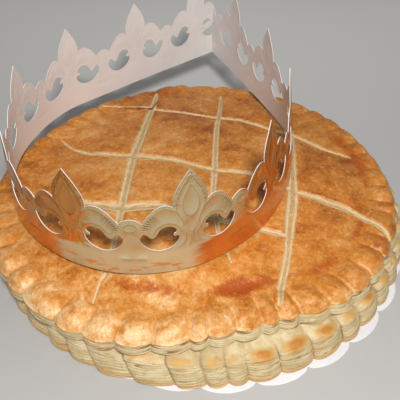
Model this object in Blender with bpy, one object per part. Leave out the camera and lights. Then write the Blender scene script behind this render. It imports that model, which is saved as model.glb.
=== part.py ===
"""Galette des rois with its foil paper crown, on a scalloped paper round.

Metres, +Z up, origin at the centre of the underside of the paper round.
"""

import bisect
import math

import bmesh
import bpy
from mathutils import Vector
from mathutils.geometry import delaunay_2d_cdt

TAU = 2.0 * math.pi

# Gap left between pieces that touch.
FIT_GAP = 0.0003

# Paper round under the pastry, which sits a little off its middle.
ROUND_THICK = 0.0006
ROUND_RADIUS = 0.1325
ROUND_SCALLOPS = 26
ROUND_FIRST_NOTCH = math.radians(-51.5)
ROUND_SCALLOP_DEPTH = 0.0046
ROUND_CENTRE = (0.0064, -0.0102)
ROUND_STEPS = 6

# Lower tier of the pastry. The notches pressed into the front are uneven.
BASE_SCALLOPS = 47
BASE_FRONT_NOTCHES = (
    -121.7, -114.0, -104.4, -95.2, -88.2, -83.3, -78.8, -70.9, -62.4, -53.6, -46.8, -38.3, -30.5,
)
BASE_RADIUS = 0.1403
BASE_BOTTOM_Z = ROUND_THICK + FIT_GAP
BASE_TOP_Z = 0.0195
BASE_NOTCH = 0.0036
BASE_SLANT = math.radians(0.8)
BASE_SLANT_EXTRA = math.radians(2.8)
BASE_SLANT_AT = math.radians(-107.0)
BASE_SLANT_HALF = math.radians(19.0)
SCALLOP_STEPS = 4

# Upper tier of the pastry.
LID_RADIUS = 0.1316
LID_SIDE_BULGE = 0.0100
LID_BULGE_AT = math.radians(-147.0)
LID_BULGE_HALF = math.radians(52.0)
LID_DIP = 0.0086
LID_DIP_AT = math.radians(-70.0)
LID_DIP_LEFT = math.radians(30.0)
LID_DIP_RIGHT = math.radians(15.0)
LID_SCALLOPS = 47
LID_FRONT_NOTCHES = (
    -136.0, -124.5, -117.0, -109.5, -101.3, -92.3, -88.0, -81.2, -74.0, -69.2, -63.8, -55.4,
    -48.4, -40.2, -32.0, -26.0, -14.8, -10.2, -2.5, 6.2, 14.8, 20.8, 31.0,
)
LID_NOTCH = 0.0034
LID_FLARE = 0.0024
LID_RIM_Z = 0.0328
LID_EDGE_DROP = 0.0046
VALLEY_INSET = 0.0185
VALLEY_Z = 0.0303
DOME_TOP_Z = 0.0390
DOME_POWER = 2.6
RIM_GROOVE = 0.0026
FRONT_AT = math.radians(-85.0)
FRONT_HALF = math.radians(75.0)
BACK_AT = math.radians(100.0)
BACK_HALF = math.radians(55.0)
BACK_LIFT = 0.0016
BLISTER_AT = (-0.022, 0.121)
BLISTER_HALF = 0.012
BLISTER_RISE = 0.0026

# Scored grid on the dome, plan stations of each cut.
SCORE_HALF_WIDTH = 0.0026
SCORE_DEPTH = 0.0010
SCORE_LINES = (
    ((-0.037, 0.115), (-0.040, 0.076), (-0.046, 0.034), (-0.050, -0.025), (-0.056, -0.091),
     (-0.058, -0.104)),
    ((0.018, 0.112), (0.0145, 0.070), (0.010, 0.002), (0.0085, -0.021), (0.020, -0.088)),
    ((0.072, 0.085), (0.068, 0.040), (0.062, -0.016), (0.053, -0.067), (0.0437, -0.107)),
    ((-0.080, 0.097), (-0.041, 0.090), (-0.016, 0.081), (0.031, 0.068), (0.070, 0.051),
     (0.109, 0.027)),
    ((-0.105, 0.047), (-0.080, 0.0255), (-0.048, 0.019), (-0.003, 0.009), (0.033, -0.001),
     (0.073, -0.022), (0.100, -0.035), (0.114, -0.050)),
    ((-0.098, -0.022), (-0.048, -0.034), (-0.028, -0.035), (0.038, -0.054), (0.066, -0.062)),
)

# Foil paper crown.
CARD = 0.0005
CROWN_Z = 0.0381
CROWN_UNITS = 11
CROWN_HEIGHT = 0.0683
BEAD_TOP = 0.0406
BEAD_HALF = 0.0062
BEAD_JOIN_Z = 0.0372
LOBE_TOP = 0.0482
LOBE_JOIN_Z = 0.0462
PETAL_HALF = 0.0098
# Length along the crown from its back corner to the first fleuron's middle.
FIRST_FLEURON = 0.0203
# The sides lean in towards the top; the corner and the front stand upright.
CROWN_LEAN = 0.0088
# Plan of the crown, anticlockwise from its back corner.
CROWN_PLAN = (
    (0.0113, 0.1822), (-0.0350, 0.1430), (-0.0750, 0.1075), (-0.1035, 0.0805),
    (-0.1190, 0.0515), (-0.1265, 0.0180), (-0.1235, -0.0130), (-0.1110, -0.0470),
    (-0.0860, -0.0735), (-0.0560, -0.0884), (-0.0250, -0.0907), (0.0060, -0.0810),
    (0.0365, -0.0555), (0.0560, -0.0200), (0.0655, 0.0200), (0.0645, 0.0480),
    (0.0552, 0.0770), (0.0417, 0.1115), (0.0266, 0.1482),
)


def clear_scene():
    """Remove everything that is in the scene."""
    for item in list(bpy.data.objects):
        bpy.data.objects.remove(item, do_unlink=True)


def material(name, colour, rough, metal=0.0):
    """Make one plain surface."""
    mat = bpy.data.materials.new(name)
    mat.use_nodes = True
    shader = mat.node_tree.nodes["Principled BSDF"]
    shader.inputs["Base Color"].default_value = (*colour, 1.0)
    shader.inputs["Roughness"].default_value = rough
    shader.inputs["Metallic"].default_value = metal
    return mat


def finish(name, verts, faces, mat, smooth_angle):
    """Turn vertices and faces into one named closed body facing out."""
    mesh = bpy.data.meshes.new(name)
    mesh.from_pydata([tuple(v) for v in verts], [], faces)
    mesh.update()
    work = bmesh.new()
    work.from_mesh(mesh)
    bmesh.ops.recalc_face_normals(work, faces=work.faces)
    work.to_mesh(mesh)
    work.free()
    mesh.materials.append(mat)
    body = bpy.data.objects.new(name, mesh)
    bpy.context.scene.collection.objects.link(body)
    mesh.shade_smooth()
    mesh.set_sharp_from_angle(angle=math.radians(smooth_angle))
    return body


def wrap(angle):
    """Bring an angle into the range from minus pi to pi."""
    return (angle + math.pi) % TAU - math.pi


def scallop(turn):
    """Return 0 in a notch and 1 on the crest, for a place counted in scallops."""
    return abs(math.sin(math.pi * turn)) ** 0.55


def notch_angles(front, count):
    """Angles of all notches: the uneven front ones, the rest spaced on."""
    angles = [math.radians(a) for a in front]
    rest = count - len(front) + 1
    gap = angles[0] + TAU - angles[-1]
    last = angles[-1]
    for i in range(1, rest):
        angles.append(last + gap * (i + 0.16 * math.sin(2.4 * i + 0.7)) / rest)
    angles.append(angles[0] + TAU)
    return angles


def turns(angle, notches):
    """Place round the rim counted in scallops from the first notch."""
    angle = (angle - notches[0]) % TAU + notches[0]
    index = min(bisect.bisect_right(notches, angle), len(notches) - 1) - 1
    return index + (angle - notches[index]) / (notches[index + 1] - notches[index])


def even_steps(notches):
    """Angles that fall on every notch and evenly between notches."""
    angles = []
    for low, high in zip(notches, notches[1:]):
        angles += [low + (high - low) * i / SCALLOP_STEPS for i in range(SCALLOP_STEPS)]
    return angles


def bell(value, half):
    """Bell curve: 1 at 0."""
    return math.exp(-(value / half) ** 2)


def unevenness(angle, seed):
    """Give a gentle hand-made wander between about -1 and 1."""
    return 0.6 * math.sin(3.0 * angle + seed) + 0.4 * math.sin(7.0 * angle + 2.3 * seed)


BASE_NOTCHES = notch_angles(BASE_FRONT_NOTCHES, BASE_SCALLOPS)
LID_NOTCHES = notch_angles(LID_FRONT_NOTCHES, LID_SCALLOPS)


def base_edge(angle):
    """Outer radius of the lower tier at an angle."""
    crest = scallop(turns(angle, BASE_NOTCHES))
    return BASE_RADIUS - BASE_NOTCH * (1.0 - crest) + 0.0008 * unevenness(angle, 1.0)


def base_slant(angle):
    """How far the pressed notches lean round the side, from foot to top."""
    return BASE_SLANT + BASE_SLANT_EXTRA * bell(wrap(angle - BASE_SLANT_AT), BASE_SLANT_HALF)


def side_share(angle):
    """1 where the upper tier bulges to the side, falling to 0."""
    return math.exp(-(abs(wrap(angle - LID_BULGE_AT)) / LID_BULGE_HALF) ** 4)


def front_share(angle):
    """Share of the rim's full depth of pressing, most at the front."""
    return 0.4 + 0.6 * bell(wrap(angle - FRONT_AT), FRONT_HALF)


def back_share(angle):
    """1 at the back, where the rim is nearly level with the dome."""
    return bell(wrap(angle - BACK_AT), BACK_HALF)


def lid_outline(angle):
    """Radius of the upper tier before its scallops."""
    front = wrap(angle - LID_DIP_AT)
    dip = LID_DIP * bell(front, LID_DIP_LEFT if front < 0.0 else LID_DIP_RIGHT)
    radius = LID_RADIUS + LID_SIDE_BULGE * side_share(angle)
    return radius - dip + 0.0005 * unevenness(angle, 4.0)


def lid_crest(angle):
    """Return 0 in a notch of the upper tier and 1 on a crest."""
    return scallop(turns(angle, LID_NOTCHES))


def lid_edge(angle):
    """Outer radius of the upper tier at an angle."""
    depth = LID_NOTCH * front_share(angle)
    return lid_outline(angle) - depth * (1.0 - lid_crest(angle))


def segment_distance(point, start, end):
    """Distance in plan from a point to a straight piece of a cut."""
    run = end - start
    share = max(0.0, min(1.0, (point - start).dot(run) / run.length_squared))
    return (point - start - run * share).length


def score_depth(x, y):
    """Depth of the scored grid at a plan point."""
    here = Vector((x, y))
    near = 1.0
    for line in SCORE_LINES:
        for start, end in zip(line, line[1:]):
            near = min(near, segment_distance(here, Vector(start), Vector(end)))
    return SCORE_DEPTH * max(0.0, 1.0 - near / SCORE_HALF_WIDTH)


def lid_height(x, y):
    """Height of the upper tier at a plan point."""
    angle = math.atan2(y, x)
    radius = math.hypot(x, y)
    outline = lid_outline(angle)
    valley = outline - VALLEY_INSET
    valley_z = VALLEY_Z + BACK_LIFT * back_share(angle)
    if radius <= valley:
        share = radius / valley
        height = DOME_TOP_Z - (DOME_TOP_Z - valley_z) * share ** DOME_POWER
    else:
        share = min(1.0, (radius - valley) / VALLEY_INSET)
        puff = math.sin(math.pi * min(1.0, share * 1.18) * 0.62)
        groove = RIM_GROOVE * front_share(angle) * (1.0 - lid_crest(angle))
        height = valley_z + (LID_RIM_Z - valley_z) * puff - groove * share
        height -= LID_EDGE_DROP * max(0.0, share - 0.72) ** 2 / 0.0784
    blister = bell(math.hypot(x - BLISTER_AT[0], y - BLISTER_AT[1]), BLISTER_HALF)
    return height + BLISTER_RISE * blister - score_depth(x, y)


def score_edges():
    """Plan points and edges of the scored grid: middle and two sides."""
    points = []
    edges = []
    for line in SCORE_LINES:
        for side in (-1.0, 0.0, 1.0):
            before = None
            for index, station in enumerate(line):
                low = Vector(line[max(0, index - 1)])
                high = Vector(line[min(len(line) - 1, index + 1)])
                along = (high - low).normalized()
                across = Vector((-along.y, along.x)) * SCORE_HALF_WIDTH * side
                points.append(Vector(station) + across)
                if before is not None:
                    edges.append((before, len(points) - 1))
                before = len(points) - 1
    return points, edges


def make_lid(mat):
    """Upper tier: scored dome, pressed scalloped rim, flat underside."""
    angles = even_steps(LID_NOTCHES)
    count = len(angles)
    plan = [Vector((lid_edge(a) * math.cos(a), lid_edge(a) * math.sin(a))) for a in angles]
    edges = [(i, (i + 1) % count) for i in range(count)]
    for inset, every in ((0.0028, 1), (0.0080, 2), (0.0130, 2), (0.0185, 4)):
        for a in angles[::every]:
            radius = lid_outline(a) - inset - LID_NOTCH * 0.25 * (inset < 0.003)
            plan.append(Vector((radius * math.cos(a), radius * math.sin(a))))
    for radius, number in ((0.100, 37), (0.082, 30), (0.060, 24), (0.038, 16), (0.018, 8), (0.0, 1)):
        for i in range(number):
            spot = Vector((radius * math.cos(TAU * i / number), radius * math.sin(TAU * i / number)))
            if score_depth(spot.x, spot.y) < 0.00001:
                plan.append(spot)
    cuts, cut_edges = score_edges()
    edges += [(a + len(plan), b + len(plan)) for a, b in cut_edges]
    plan += cuts
    flat, _, tris, _, _, _ = delaunay_2d_cdt(plan, edges, [], 1, 0.00001)
    verts = [Vector((p.x, p.y, lid_height(p.x, p.y))) for p in flat]
    faces = [tuple(t) for t in tris]
    ring = list(range(count))
    for flare, height in ((0.3, 0.0256), (1.0, BASE_TOP_Z + FIT_GAP)):
        low = []
        for a in angles:
            radius = lid_edge(a) + LID_FLARE * flare * (1.0 - side_share(a))
            low.append(len(verts))
            verts.append(Vector((radius * math.cos(a), radius * math.sin(a), height)))
        for i in range(count):
            j = (i + 1) % count
            faces.append((ring[i], ring[j], low[j]))
            faces.append((ring[i], low[j], low[i]))
        ring = low
    middle = len(verts)
    verts.append(Vector((0.0, 0.0, BASE_TOP_Z + FIT_GAP)))
    for i in range(count):
        faces.append((middle, ring[(i + 1) % count], ring[i]))
    return finish("pastry_lid", verts, faces, mat, 40.0)


def make_base(mat):
    """Lower tier: scalloped side with slanting notches and a sloping ledge."""
    angles = even_steps(BASE_NOTCHES)
    count = len(angles)
    rings = (
        (0.0006, BASE_BOTTOM_Z, 0.0),
        (0.0006, 0.0070, 0.35),
        (0.0026, 0.0150, 0.8),
        (0.0066, 0.0186, 1.0),
        (0.0130, BASE_TOP_Z, 1.0),
    )
    verts = [Vector((0.0, 0.0, BASE_BOTTOM_Z)), Vector((0.0, 0.0, BASE_TOP_Z))]
    faces = []
    before = None
    for inset, height, slant in rings:
        start = len(verts)
        for a in angles:
            radius = base_edge(a) - inset
            turned = a - base_slant(a) * slant
            verts.append(Vector((radius * math.cos(turned), radius * math.sin(turned), height)))
        for i in range(count):
            j = (i + 1) % count
            if before is None:
                faces.append((0, start + j, start + i))
            else:
                faces.append((before + i, before + j, start + j))
                faces.append((before + i, start + j, start + i))
        before = start
    for i in range(count):
        faces.append((1, before + i, before + (i + 1) % count))
    return finish("pastry_base", verts, faces, mat, 40.0)


def make_round(mat):
    """Thin scalloped paper round, flat on the table."""
    count = ROUND_SCALLOPS * ROUND_STEPS
    verts = []
    for height in (0.0, ROUND_THICK):
        for i in range(count):
            angle = ROUND_FIRST_NOTCH + TAU * i / count
            crest = scallop(ROUND_SCALLOPS * i / count)
            radius = ROUND_RADIUS - ROUND_SCALLOP_DEPTH * (1.0 - crest)
            x = ROUND_CENTRE[0] + radius * math.cos(angle)
            y = ROUND_CENTRE[1] + radius * math.sin(angle)
            verts.append(Vector((x, y, height)))
    faces = []
    for i in range(count):
        j = (i + 1) % count
        faces.append((i, j, count + j))
        faces.append((i, count + j, count + i))
    for height, start, flip in ((0.0, 0, True), (ROUND_THICK, count, False)):
        middle = len(verts)
        verts.append(Vector((*ROUND_CENTRE, height)))
        for i in range(count):
            pair = (start + i, start + (i + 1) % count)
            faces.append((middle, pair[1], pair[0]) if flip else (middle, *pair))
    return finish("paper_round", verts, faces, mat, 40.0)


def arc(cx, cy, radius, start, end, steps):
    """Points along a round arc, angles in degrees."""
    points = []
    for i in range(steps + 1):
        angle = math.radians(start + (end - start) * i / steps)
        points.append((cx + radius * math.cos(angle), cy + radius * math.sin(angle)))
    return points


def curl_hole():
    """Comma-shaped hole under the left side lobe of a fleuron."""
    bowl = arc(-0.0173, 0.0284, 0.0112, 188.0, 334.0, 7)
    nub = [(-0.0066, 0.0262), (-0.0094, 0.0264), (-0.0100, 0.0281), (-0.0084, 0.0294)]
    head = arc(-0.0131, 0.0285, 0.0054, 20.0, 152.0, 5)
    tail = [(-0.0196, 0.0281), (-0.0210, 0.0266), (-0.0232, 0.0276), (-0.0258, 0.0304)]
    return bowl + nub + head + tail


def half_outline():
    """Top edge of half a fleuron, from the bead's middle to the petal's tip."""
    half = HALF_PITCH
    bead = []
    for i in range(4):
        share = i / 4.0
        rise = (BEAD_TOP - BEAD_JOIN_Z) * math.cos(math.pi * 0.5 * share) ** 0.8
        bead.append((-half + BEAD_HALF * share, BEAD_JOIN_Z + rise))
    lobe_foot = (-half + BEAD_HALF, BEAD_JOIN_Z)
    lobe = [lobe_foot]
    span = (-PETAL_HALF) - lobe_foot[0]
    for i in range(1, 8):
        share = i / 8.0
        climb = math.sin(math.pi * 0.5 * min(1.0, share / 0.72)) ** 0.9
        sag = max(0.0, share - 0.72) / 0.28
        height = BEAD_JOIN_Z + (LOBE_TOP - BEAD_JOIN_Z) * climb - (LOBE_TOP - LOBE_JOIN_Z) * sag ** 2
        lobe.append((lobe_foot[0] + span * share, height))
    petal = []
    for i in range(8):
        share = i / 7.0
        swell = PETAL_HALF * (1.0 - share ** 1.75) * (1.0 + 0.10 * math.sin(math.pi * share))
        petal.append((-swell, LOBE_JOIN_Z + (CROWN_HEIGHT - LOBE_JOIN_Z) * share))
    return bead + lobe + petal


def crown_path():
    """Dense plan curve of the crown, with its corner at the start."""
    points = [Vector(p) for p in CROWN_PLAN]
    count = len(points)
    dense = []
    for i in range(count):
        p1 = points[i]
        p2 = points[(i + 1) % count]
        before = points[i - 1] if i > 0 else p1 + (p1 - p2)
        after = points[(i + 2) % count] if i < count - 1 else p2 + (p2 - p1)
        for k in range(24):
            t = k / 24.0
            curve = 2.0 * p1 + (p2 - before) * t
            curve += (2.0 * before - 5.0 * p1 + 4.0 * p2 - after) * t * t
            curve += (3.0 * p1 - before - 3.0 * p2 + after) * t * t * t
            dense.append(0.5 * curve)
    dense.append(points[0].copy())
    return dense


def path_lengths(dense):
    """Running length along the plan curve."""
    total = [0.0]
    for a, b in zip(dense, dense[1:]):
        total.append(total[-1] + (b - a).length)
    return total


PATH = crown_path()
LENGTHS = path_lengths(PATH)
HALF_PITCH = LENGTHS[-1] / CROWN_UNITS / 2.0


def on_path(length):
    """Plan point and outward direction at a length along the crown."""
    last = len(PATH) - 1
    if length <= 1e-6 or length >= LENGTHS[-1] - 1e-6:
        leave = (PATH[1] - PATH[0]).normalized()
        arrive = (PATH[last] - PATH[last - 1]).normalized()
        out_a = Vector((leave.y, -leave.x))
        out_b = Vector((arrive.y, -arrive.x))
        mitre = (out_a + out_b).normalized()
        return PATH[0], mitre / max(0.35, mitre.dot(out_a))
    index = 0
    while LENGTHS[index + 1] < length:
        index += 1
    share = (length - LENGTHS[index]) / (LENGTHS[index + 1] - LENGTHS[index])
    place = PATH[index].lerp(PATH[index + 1], share)
    low = max(0, index - 3)
    high = min(last, index + 4)
    run = (PATH[high] - PATH[low]).normalized()
    return place, Vector((run.y, -run.x))


def crown_unit(fold=None):
    """Flat triangles of one fleuron, with an upright row of points at a fold."""
    left = half_outline()
    right = [(-u, v) for u, v in reversed(left[:-1])]
    bottom = [(HALF_PITCH * (1.0 - 2.0 * i / 10.0), 0.0) for i in range(11)]
    bottom = bottom[1:-1]
    side = [0.0100, 0.0200, 0.0300]
    rim = left + right + [(HALF_PITCH, v) for v in reversed(side)]
    rim += [(HALF_PITCH, 0.0)] + bottom + [(-HALF_PITCH, 0.0)]
    rim += [(-HALF_PITCH, v) for v in side]
    holes = [curl_hole(), [(-u, v) for u, v in reversed(curl_hole())]]
    points = [Vector(p) for p in rim]
    edges = [(i, (i + 1) % len(rim)) for i in range(len(rim))]
    for hole in holes:
        start = len(points)
        points += [Vector(p) for p in hole]
        edges += [(start + i, start + (i + 1) % len(hole)) for i in range(len(hole))]
    if fold is not None:
        points += [Vector((fold, -0.001)), Vector((fold, CROWN_HEIGHT))]
        edges.append((len(points) - 2, len(points) - 1))
    flat, _, tris, _, _, _ = delaunay_2d_cdt(points, edges, [], 0, 1e-7)
    kept = []
    for tri in tris:
        mid = (flat[tri[0]] + flat[tri[1]] + flat[tri[2]]) / 3.0
        if inside(mid, rim) and not any(inside(mid, hole) for hole in holes):
            kept.append(tuple(tri))
    return flat, kept


def inside(point, loop):
    """Tell whether a plan point lies in a closed loop."""
    hit = False
    for (x1, y1), (x2, y2) in zip(loop, loop[1:] + loop[:1]):
        if (y1 > point.y) != (y2 > point.y):
            if point.x < x1 + (point.y - y1) * (x2 - x1) / (y2 - y1):
                hit = not hit
    return hit


def make_crown(mat):
    """Closed ring of fleurons cut from thin foil paper."""
    plain = crown_unit()
    folded = crown_unit(-FIRST_FLEURON)
    lookup = {}
    verts = []
    faces = []

    def vertex(unit, index, side):
        """Index of a bent vertex, shared along the joins between units."""
        spot = (folded if unit == 0 else plain)[0][index]
        length = FIRST_FLEURON + unit * 2.0 * HALF_PITCH + spot.x
        key = (unit, index, side)
        if abs(abs(spot.x) - HALF_PITCH) < 1e-6:
            join = (unit + (spot.x > 0.0)) % CROWN_UNITS
            length = FIRST_FLEURON + (join - 0.5) * 2.0 * HALF_PITCH
            key = (join, "join", round(spot.y * 1e6), side)
        if key not in lookup:
            place, out = on_path(length % LENGTHS[-1])
            lean = CROWN_LEAN * 0.5 * (1.0 - math.cos(2.0 * TAU * length / LENGTHS[-1]))
            shift = place + out * (side * CARD * 0.5 - lean * spot.y / CROWN_HEIGHT)
            lookup[key] = len(verts)
            verts.append(Vector((shift.x, shift.y, CROWN_Z + spot.y)))
        return lookup[key]

    for unit in range(CROWN_UNITS):
        for side in (-1, 1):
            for tri in (folded if unit == 0 else plain)[1]:
                corner = [vertex(unit, index, side) for index in tri]
                faces.append(tuple(corner if side < 0 else reversed(corner)))
    count = {}
    for face in faces:
        for a, b in zip(face, face[1:] + face[:1]):
            count.setdefault((min(a, b), max(a, b)), []).append((a, b))
    inner = {index: key for key, index in lookup.items() if key[-1] < 0}
    for runs in count.values():
        a, b = runs[0]
        if len(runs) == 1 and a in inner and b in inner:
            far_a = lookup[(*inner[a][:-1], 1)]
            far_b = lookup[(*inner[b][:-1], 1)]
            faces.append((b, a, far_a))
            faces.append((b, far_a, far_b))
    return finish("paper_crown", verts, faces, mat, 35.0)


clear_scene()
crust = material("glazed_crust", (0.52, 0.24, 0.075), 0.38)
side_pastry = material("flaky_side", (0.70, 0.52, 0.28), 0.62)
foil = material("gold_foil_card", (0.78, 0.58, 0.26), 0.26, 0.9)
paper = material("white_paper", (0.86, 0.85, 0.83), 0.75)
make_round(paper)
make_base(side_pastry)
make_lid(crust)
make_crown(foil)
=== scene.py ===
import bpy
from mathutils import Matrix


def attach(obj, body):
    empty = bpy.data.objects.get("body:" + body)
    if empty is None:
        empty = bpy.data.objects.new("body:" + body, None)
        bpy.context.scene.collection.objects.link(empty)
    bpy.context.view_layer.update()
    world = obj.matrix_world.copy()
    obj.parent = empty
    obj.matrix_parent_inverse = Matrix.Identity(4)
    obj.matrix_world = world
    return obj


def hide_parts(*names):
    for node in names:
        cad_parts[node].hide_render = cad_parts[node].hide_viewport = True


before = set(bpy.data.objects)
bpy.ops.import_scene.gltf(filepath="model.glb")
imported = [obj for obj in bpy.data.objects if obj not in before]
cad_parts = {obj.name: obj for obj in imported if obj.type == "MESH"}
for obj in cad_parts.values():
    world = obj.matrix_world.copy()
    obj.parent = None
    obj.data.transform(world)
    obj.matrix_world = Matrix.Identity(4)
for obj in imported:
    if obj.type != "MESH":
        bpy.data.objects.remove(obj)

"""Galette des rois with its foil paper crown: looks, light and camera."""

import logging
import math
from dataclasses import dataclass, field
from enum import Enum
from typing import Any, Callable, Optional, Sequence, Union

import bpy
import numpy as np
from mathutils import Vector
from mathutils.geometry import delaunay_2d_cdt

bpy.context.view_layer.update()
LOG = logging.getLogger("galette")
TAU = 2.0 * math.pi
MILLIMETRE = 0.001
# Rough radii of the two tiers, at which unevenness round them is read.
LID_REACH = 0.13
BASE_REACH = 0.14
# A distance beyond every other, to start a search for the nearest.
FAR = 9.0
Colour = tuple[float, float, float]
Array = np.ndarray
Number = Union[float, Array]


# ---------------------------------------------------------------- shader tools


class Val:
    """A shader socket that can be used in Python expressions."""

    def __init__(self, shade: "Shade", socket: Any) -> None:
        """Keep the material builder and the socket."""
        self.shade = shade
        self.socket = socket

    def _math(self, op: str, a: Any, b: Any = None) -> "Val":
        """Result of one Math node on one or two operands."""
        values = {0: a} if b is None else {0: a, 1: b}
        return self.shade.add("ShaderNodeMath", {"operation": op}, values)

    def __add__(self, other: Any) -> "Val":
        """Sum."""
        return self._math("ADD", self, other)

    def __radd__(self, other: Any) -> "Val":
        """Reflected sum."""
        return self._math("ADD", other, self)

    def __sub__(self, other: Any) -> "Val":
        """Difference."""
        return self._math("SUBTRACT", self, other)

    def __rsub__(self, other: Any) -> "Val":
        """Reflected difference."""
        return self._math("SUBTRACT", other, self)

    def __mul__(self, other: Any) -> "Val":
        """Product."""
        return self._math("MULTIPLY", self, other)

    def __rmul__(self, other: Any) -> "Val":
        """Reflected product."""
        return self._math("MULTIPLY", other, self)

    def lowest(self, other: Any) -> "Val":
        """Smaller of two."""
        return self._math("MINIMUM", self, other)

    def highest(self, other: Any) -> "Val":
        """Larger of two."""
        return self._math("MAXIMUM", self, other)

    def sine(self) -> "Val":
        """Sine."""
        return self._math("SINE", self)

    def step(self, low: float, high: float) -> "Val":
        """Rise smoothly from 0 at low to 1 at high; falls if high is lower.

        Args:
            low: Value where the result is 0.
            high: Value where the result is 1.

        Returns:
            A smooth mask.
        """
        if low <= high:
            ends = {1: low, 2: high, 3: 0.0, 4: 1.0}
        else:
            ends = {1: high, 2: low, 3: 1.0, 4: 0.0}
        settings = {"interpolation_type": "SMOOTHSTEP", "clamp": True}
        return self.shade.add("ShaderNodeMapRange", settings, {0: self, **ends})


@dataclass
class Shade:
    """Builds one material's nodes."""

    name: str
    material: Any = field(init=False)

    def __post_init__(self) -> None:
        """Start an empty node tree with its output."""
        self.material = bpy.data.materials.new(self.name)
        self.material.use_nodes = True
        self.material.node_tree.nodes.clear()

    @property
    def tree(self) -> Any:
        """The node tree."""
        return self.material.node_tree

    def add(
        self,
        kind: str,
        settings: Optional[dict[str, Any]] = None,
        sockets: Optional[dict[Union[int, str], Any]] = None,
        out: Union[int, str] = 0,
    ) -> Val:
        """Add one node.

        Args:
            kind: The node's type.
            settings: Attributes that are set first.
            sockets: Values or links by input name or number.
            out: Output that is returned.

        Returns:
            The chosen output.
        """
        node = self.tree.nodes.new(kind)
        for key, value in (settings or {}).items():
            setattr(node, key, value)
        for key, value in (sockets or {}).items():
            self.feed(node.inputs[key], value)
        return Val(self, node.outputs[out] if len(node.outputs) else None)

    def feed(self, socket: Any, value: Any) -> None:
        """Link a result to a socket, or set its constant.

        Args:
            socket: The input.
            value: A result, a number or a colour.
        """
        if isinstance(value, Val):
            self.tree.links.new(value.socket, socket)
        elif isinstance(value, tuple) and socket.type == "RGBA":
            socket.default_value = (*value[:3], 1.0)
        else:
            socket.default_value = value

    def place(self) -> Val:
        """Object coordinates."""
        return self.add("ShaderNodeTexCoord", out="Object")

    def trait(self, name: str) -> Val:
        """A number kept on the mesh's points."""
        return self.add("ShaderNodeAttribute", {"attribute_name": name}, out="Fac")

    def axes(self) -> list[Val]:
        """Object coordinates one by one."""
        node = self.add("ShaderNodeSeparateXYZ", None, {0: self.place()}).socket.node
        return [Val(self, output) for output in node.outputs]

    def stretch(self, scale: tuple[float, float, float]) -> Val:
        """Object coordinates scaled per axis."""
        return self.add("ShaderNodeMapping", None, {"Vector": self.place(), "Scale": scale})

    def noise(
        self,
        size: float,
        detail: float = 3.0,
        rough: float = 0.55,
        twist: float = 0.0,
        vector: Optional[Val] = None,
    ) -> Val:
        """Cloudy noise around 0.5.

        Args:
            size: Rough size of a blotch in metres.
            detail: Number of finer layers.
            rough: Strength of the finer layers.
            twist: Distortion.
            vector: Coordinates, object ones if left out.

        Returns:
            The noise value.
        """
        sockets = {
            "Vector": vector or self.place(),
            "Scale": 1.0 / size,
            "Detail": detail,
            "Roughness": rough,
            "Distortion": twist,
        }
        return self.add("ShaderNodeTexNoise", None, sockets)

    def cells(self, size: float) -> Val:
        """Distance to the nearest of points scattered one per cell of this size."""
        sockets = {"Vector": self.place(), "Scale": 1.0 / size}
        return self.add("ShaderNodeTexVoronoi", None, sockets, "Distance")

    def tint(self, share: Any, first: Any, second: Any) -> Val:
        """Mix two colours.

        Args:
            share: Share of the second colour.
            first: A colour or result.
            second: A colour or result.

        Returns:
            The mixed colour.
        """
        return self.add("ShaderNodeMix", {"data_type": "RGBA"}, {0: share, 6: first, 7: second}, 2)

    def bump(self, height: Val, depth: float, normal: Optional[Val] = None) -> Val:
        """Fine relief.

        Args:
            height: Height from 0 to 1.
            depth: Depth in metres.
            normal: Relief that lies under this one.

        Returns:
            The bent normal.
        """
        sockets: dict[Union[int, str], Any] = {"Strength": 1.0, "Distance": depth, "Height": height}
        if normal is not None:
            sockets["Normal"] = normal
        return self.add("ShaderNodeBump", None, sockets)

    def close(self, sockets: dict[Union[int, str], Any]) -> Any:
        """Add the surface shader and output.

        Args:
            sockets: Inputs of the surface.

        Returns:
            The finished material.
        """
        surface = self.add("ShaderNodeBsdfPrincipled", None, sockets)
        self.add("ShaderNodeOutputMaterial", None, {"Surface": surface})
        return self.material


# ------------------------------------------------------------------- finishes


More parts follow.
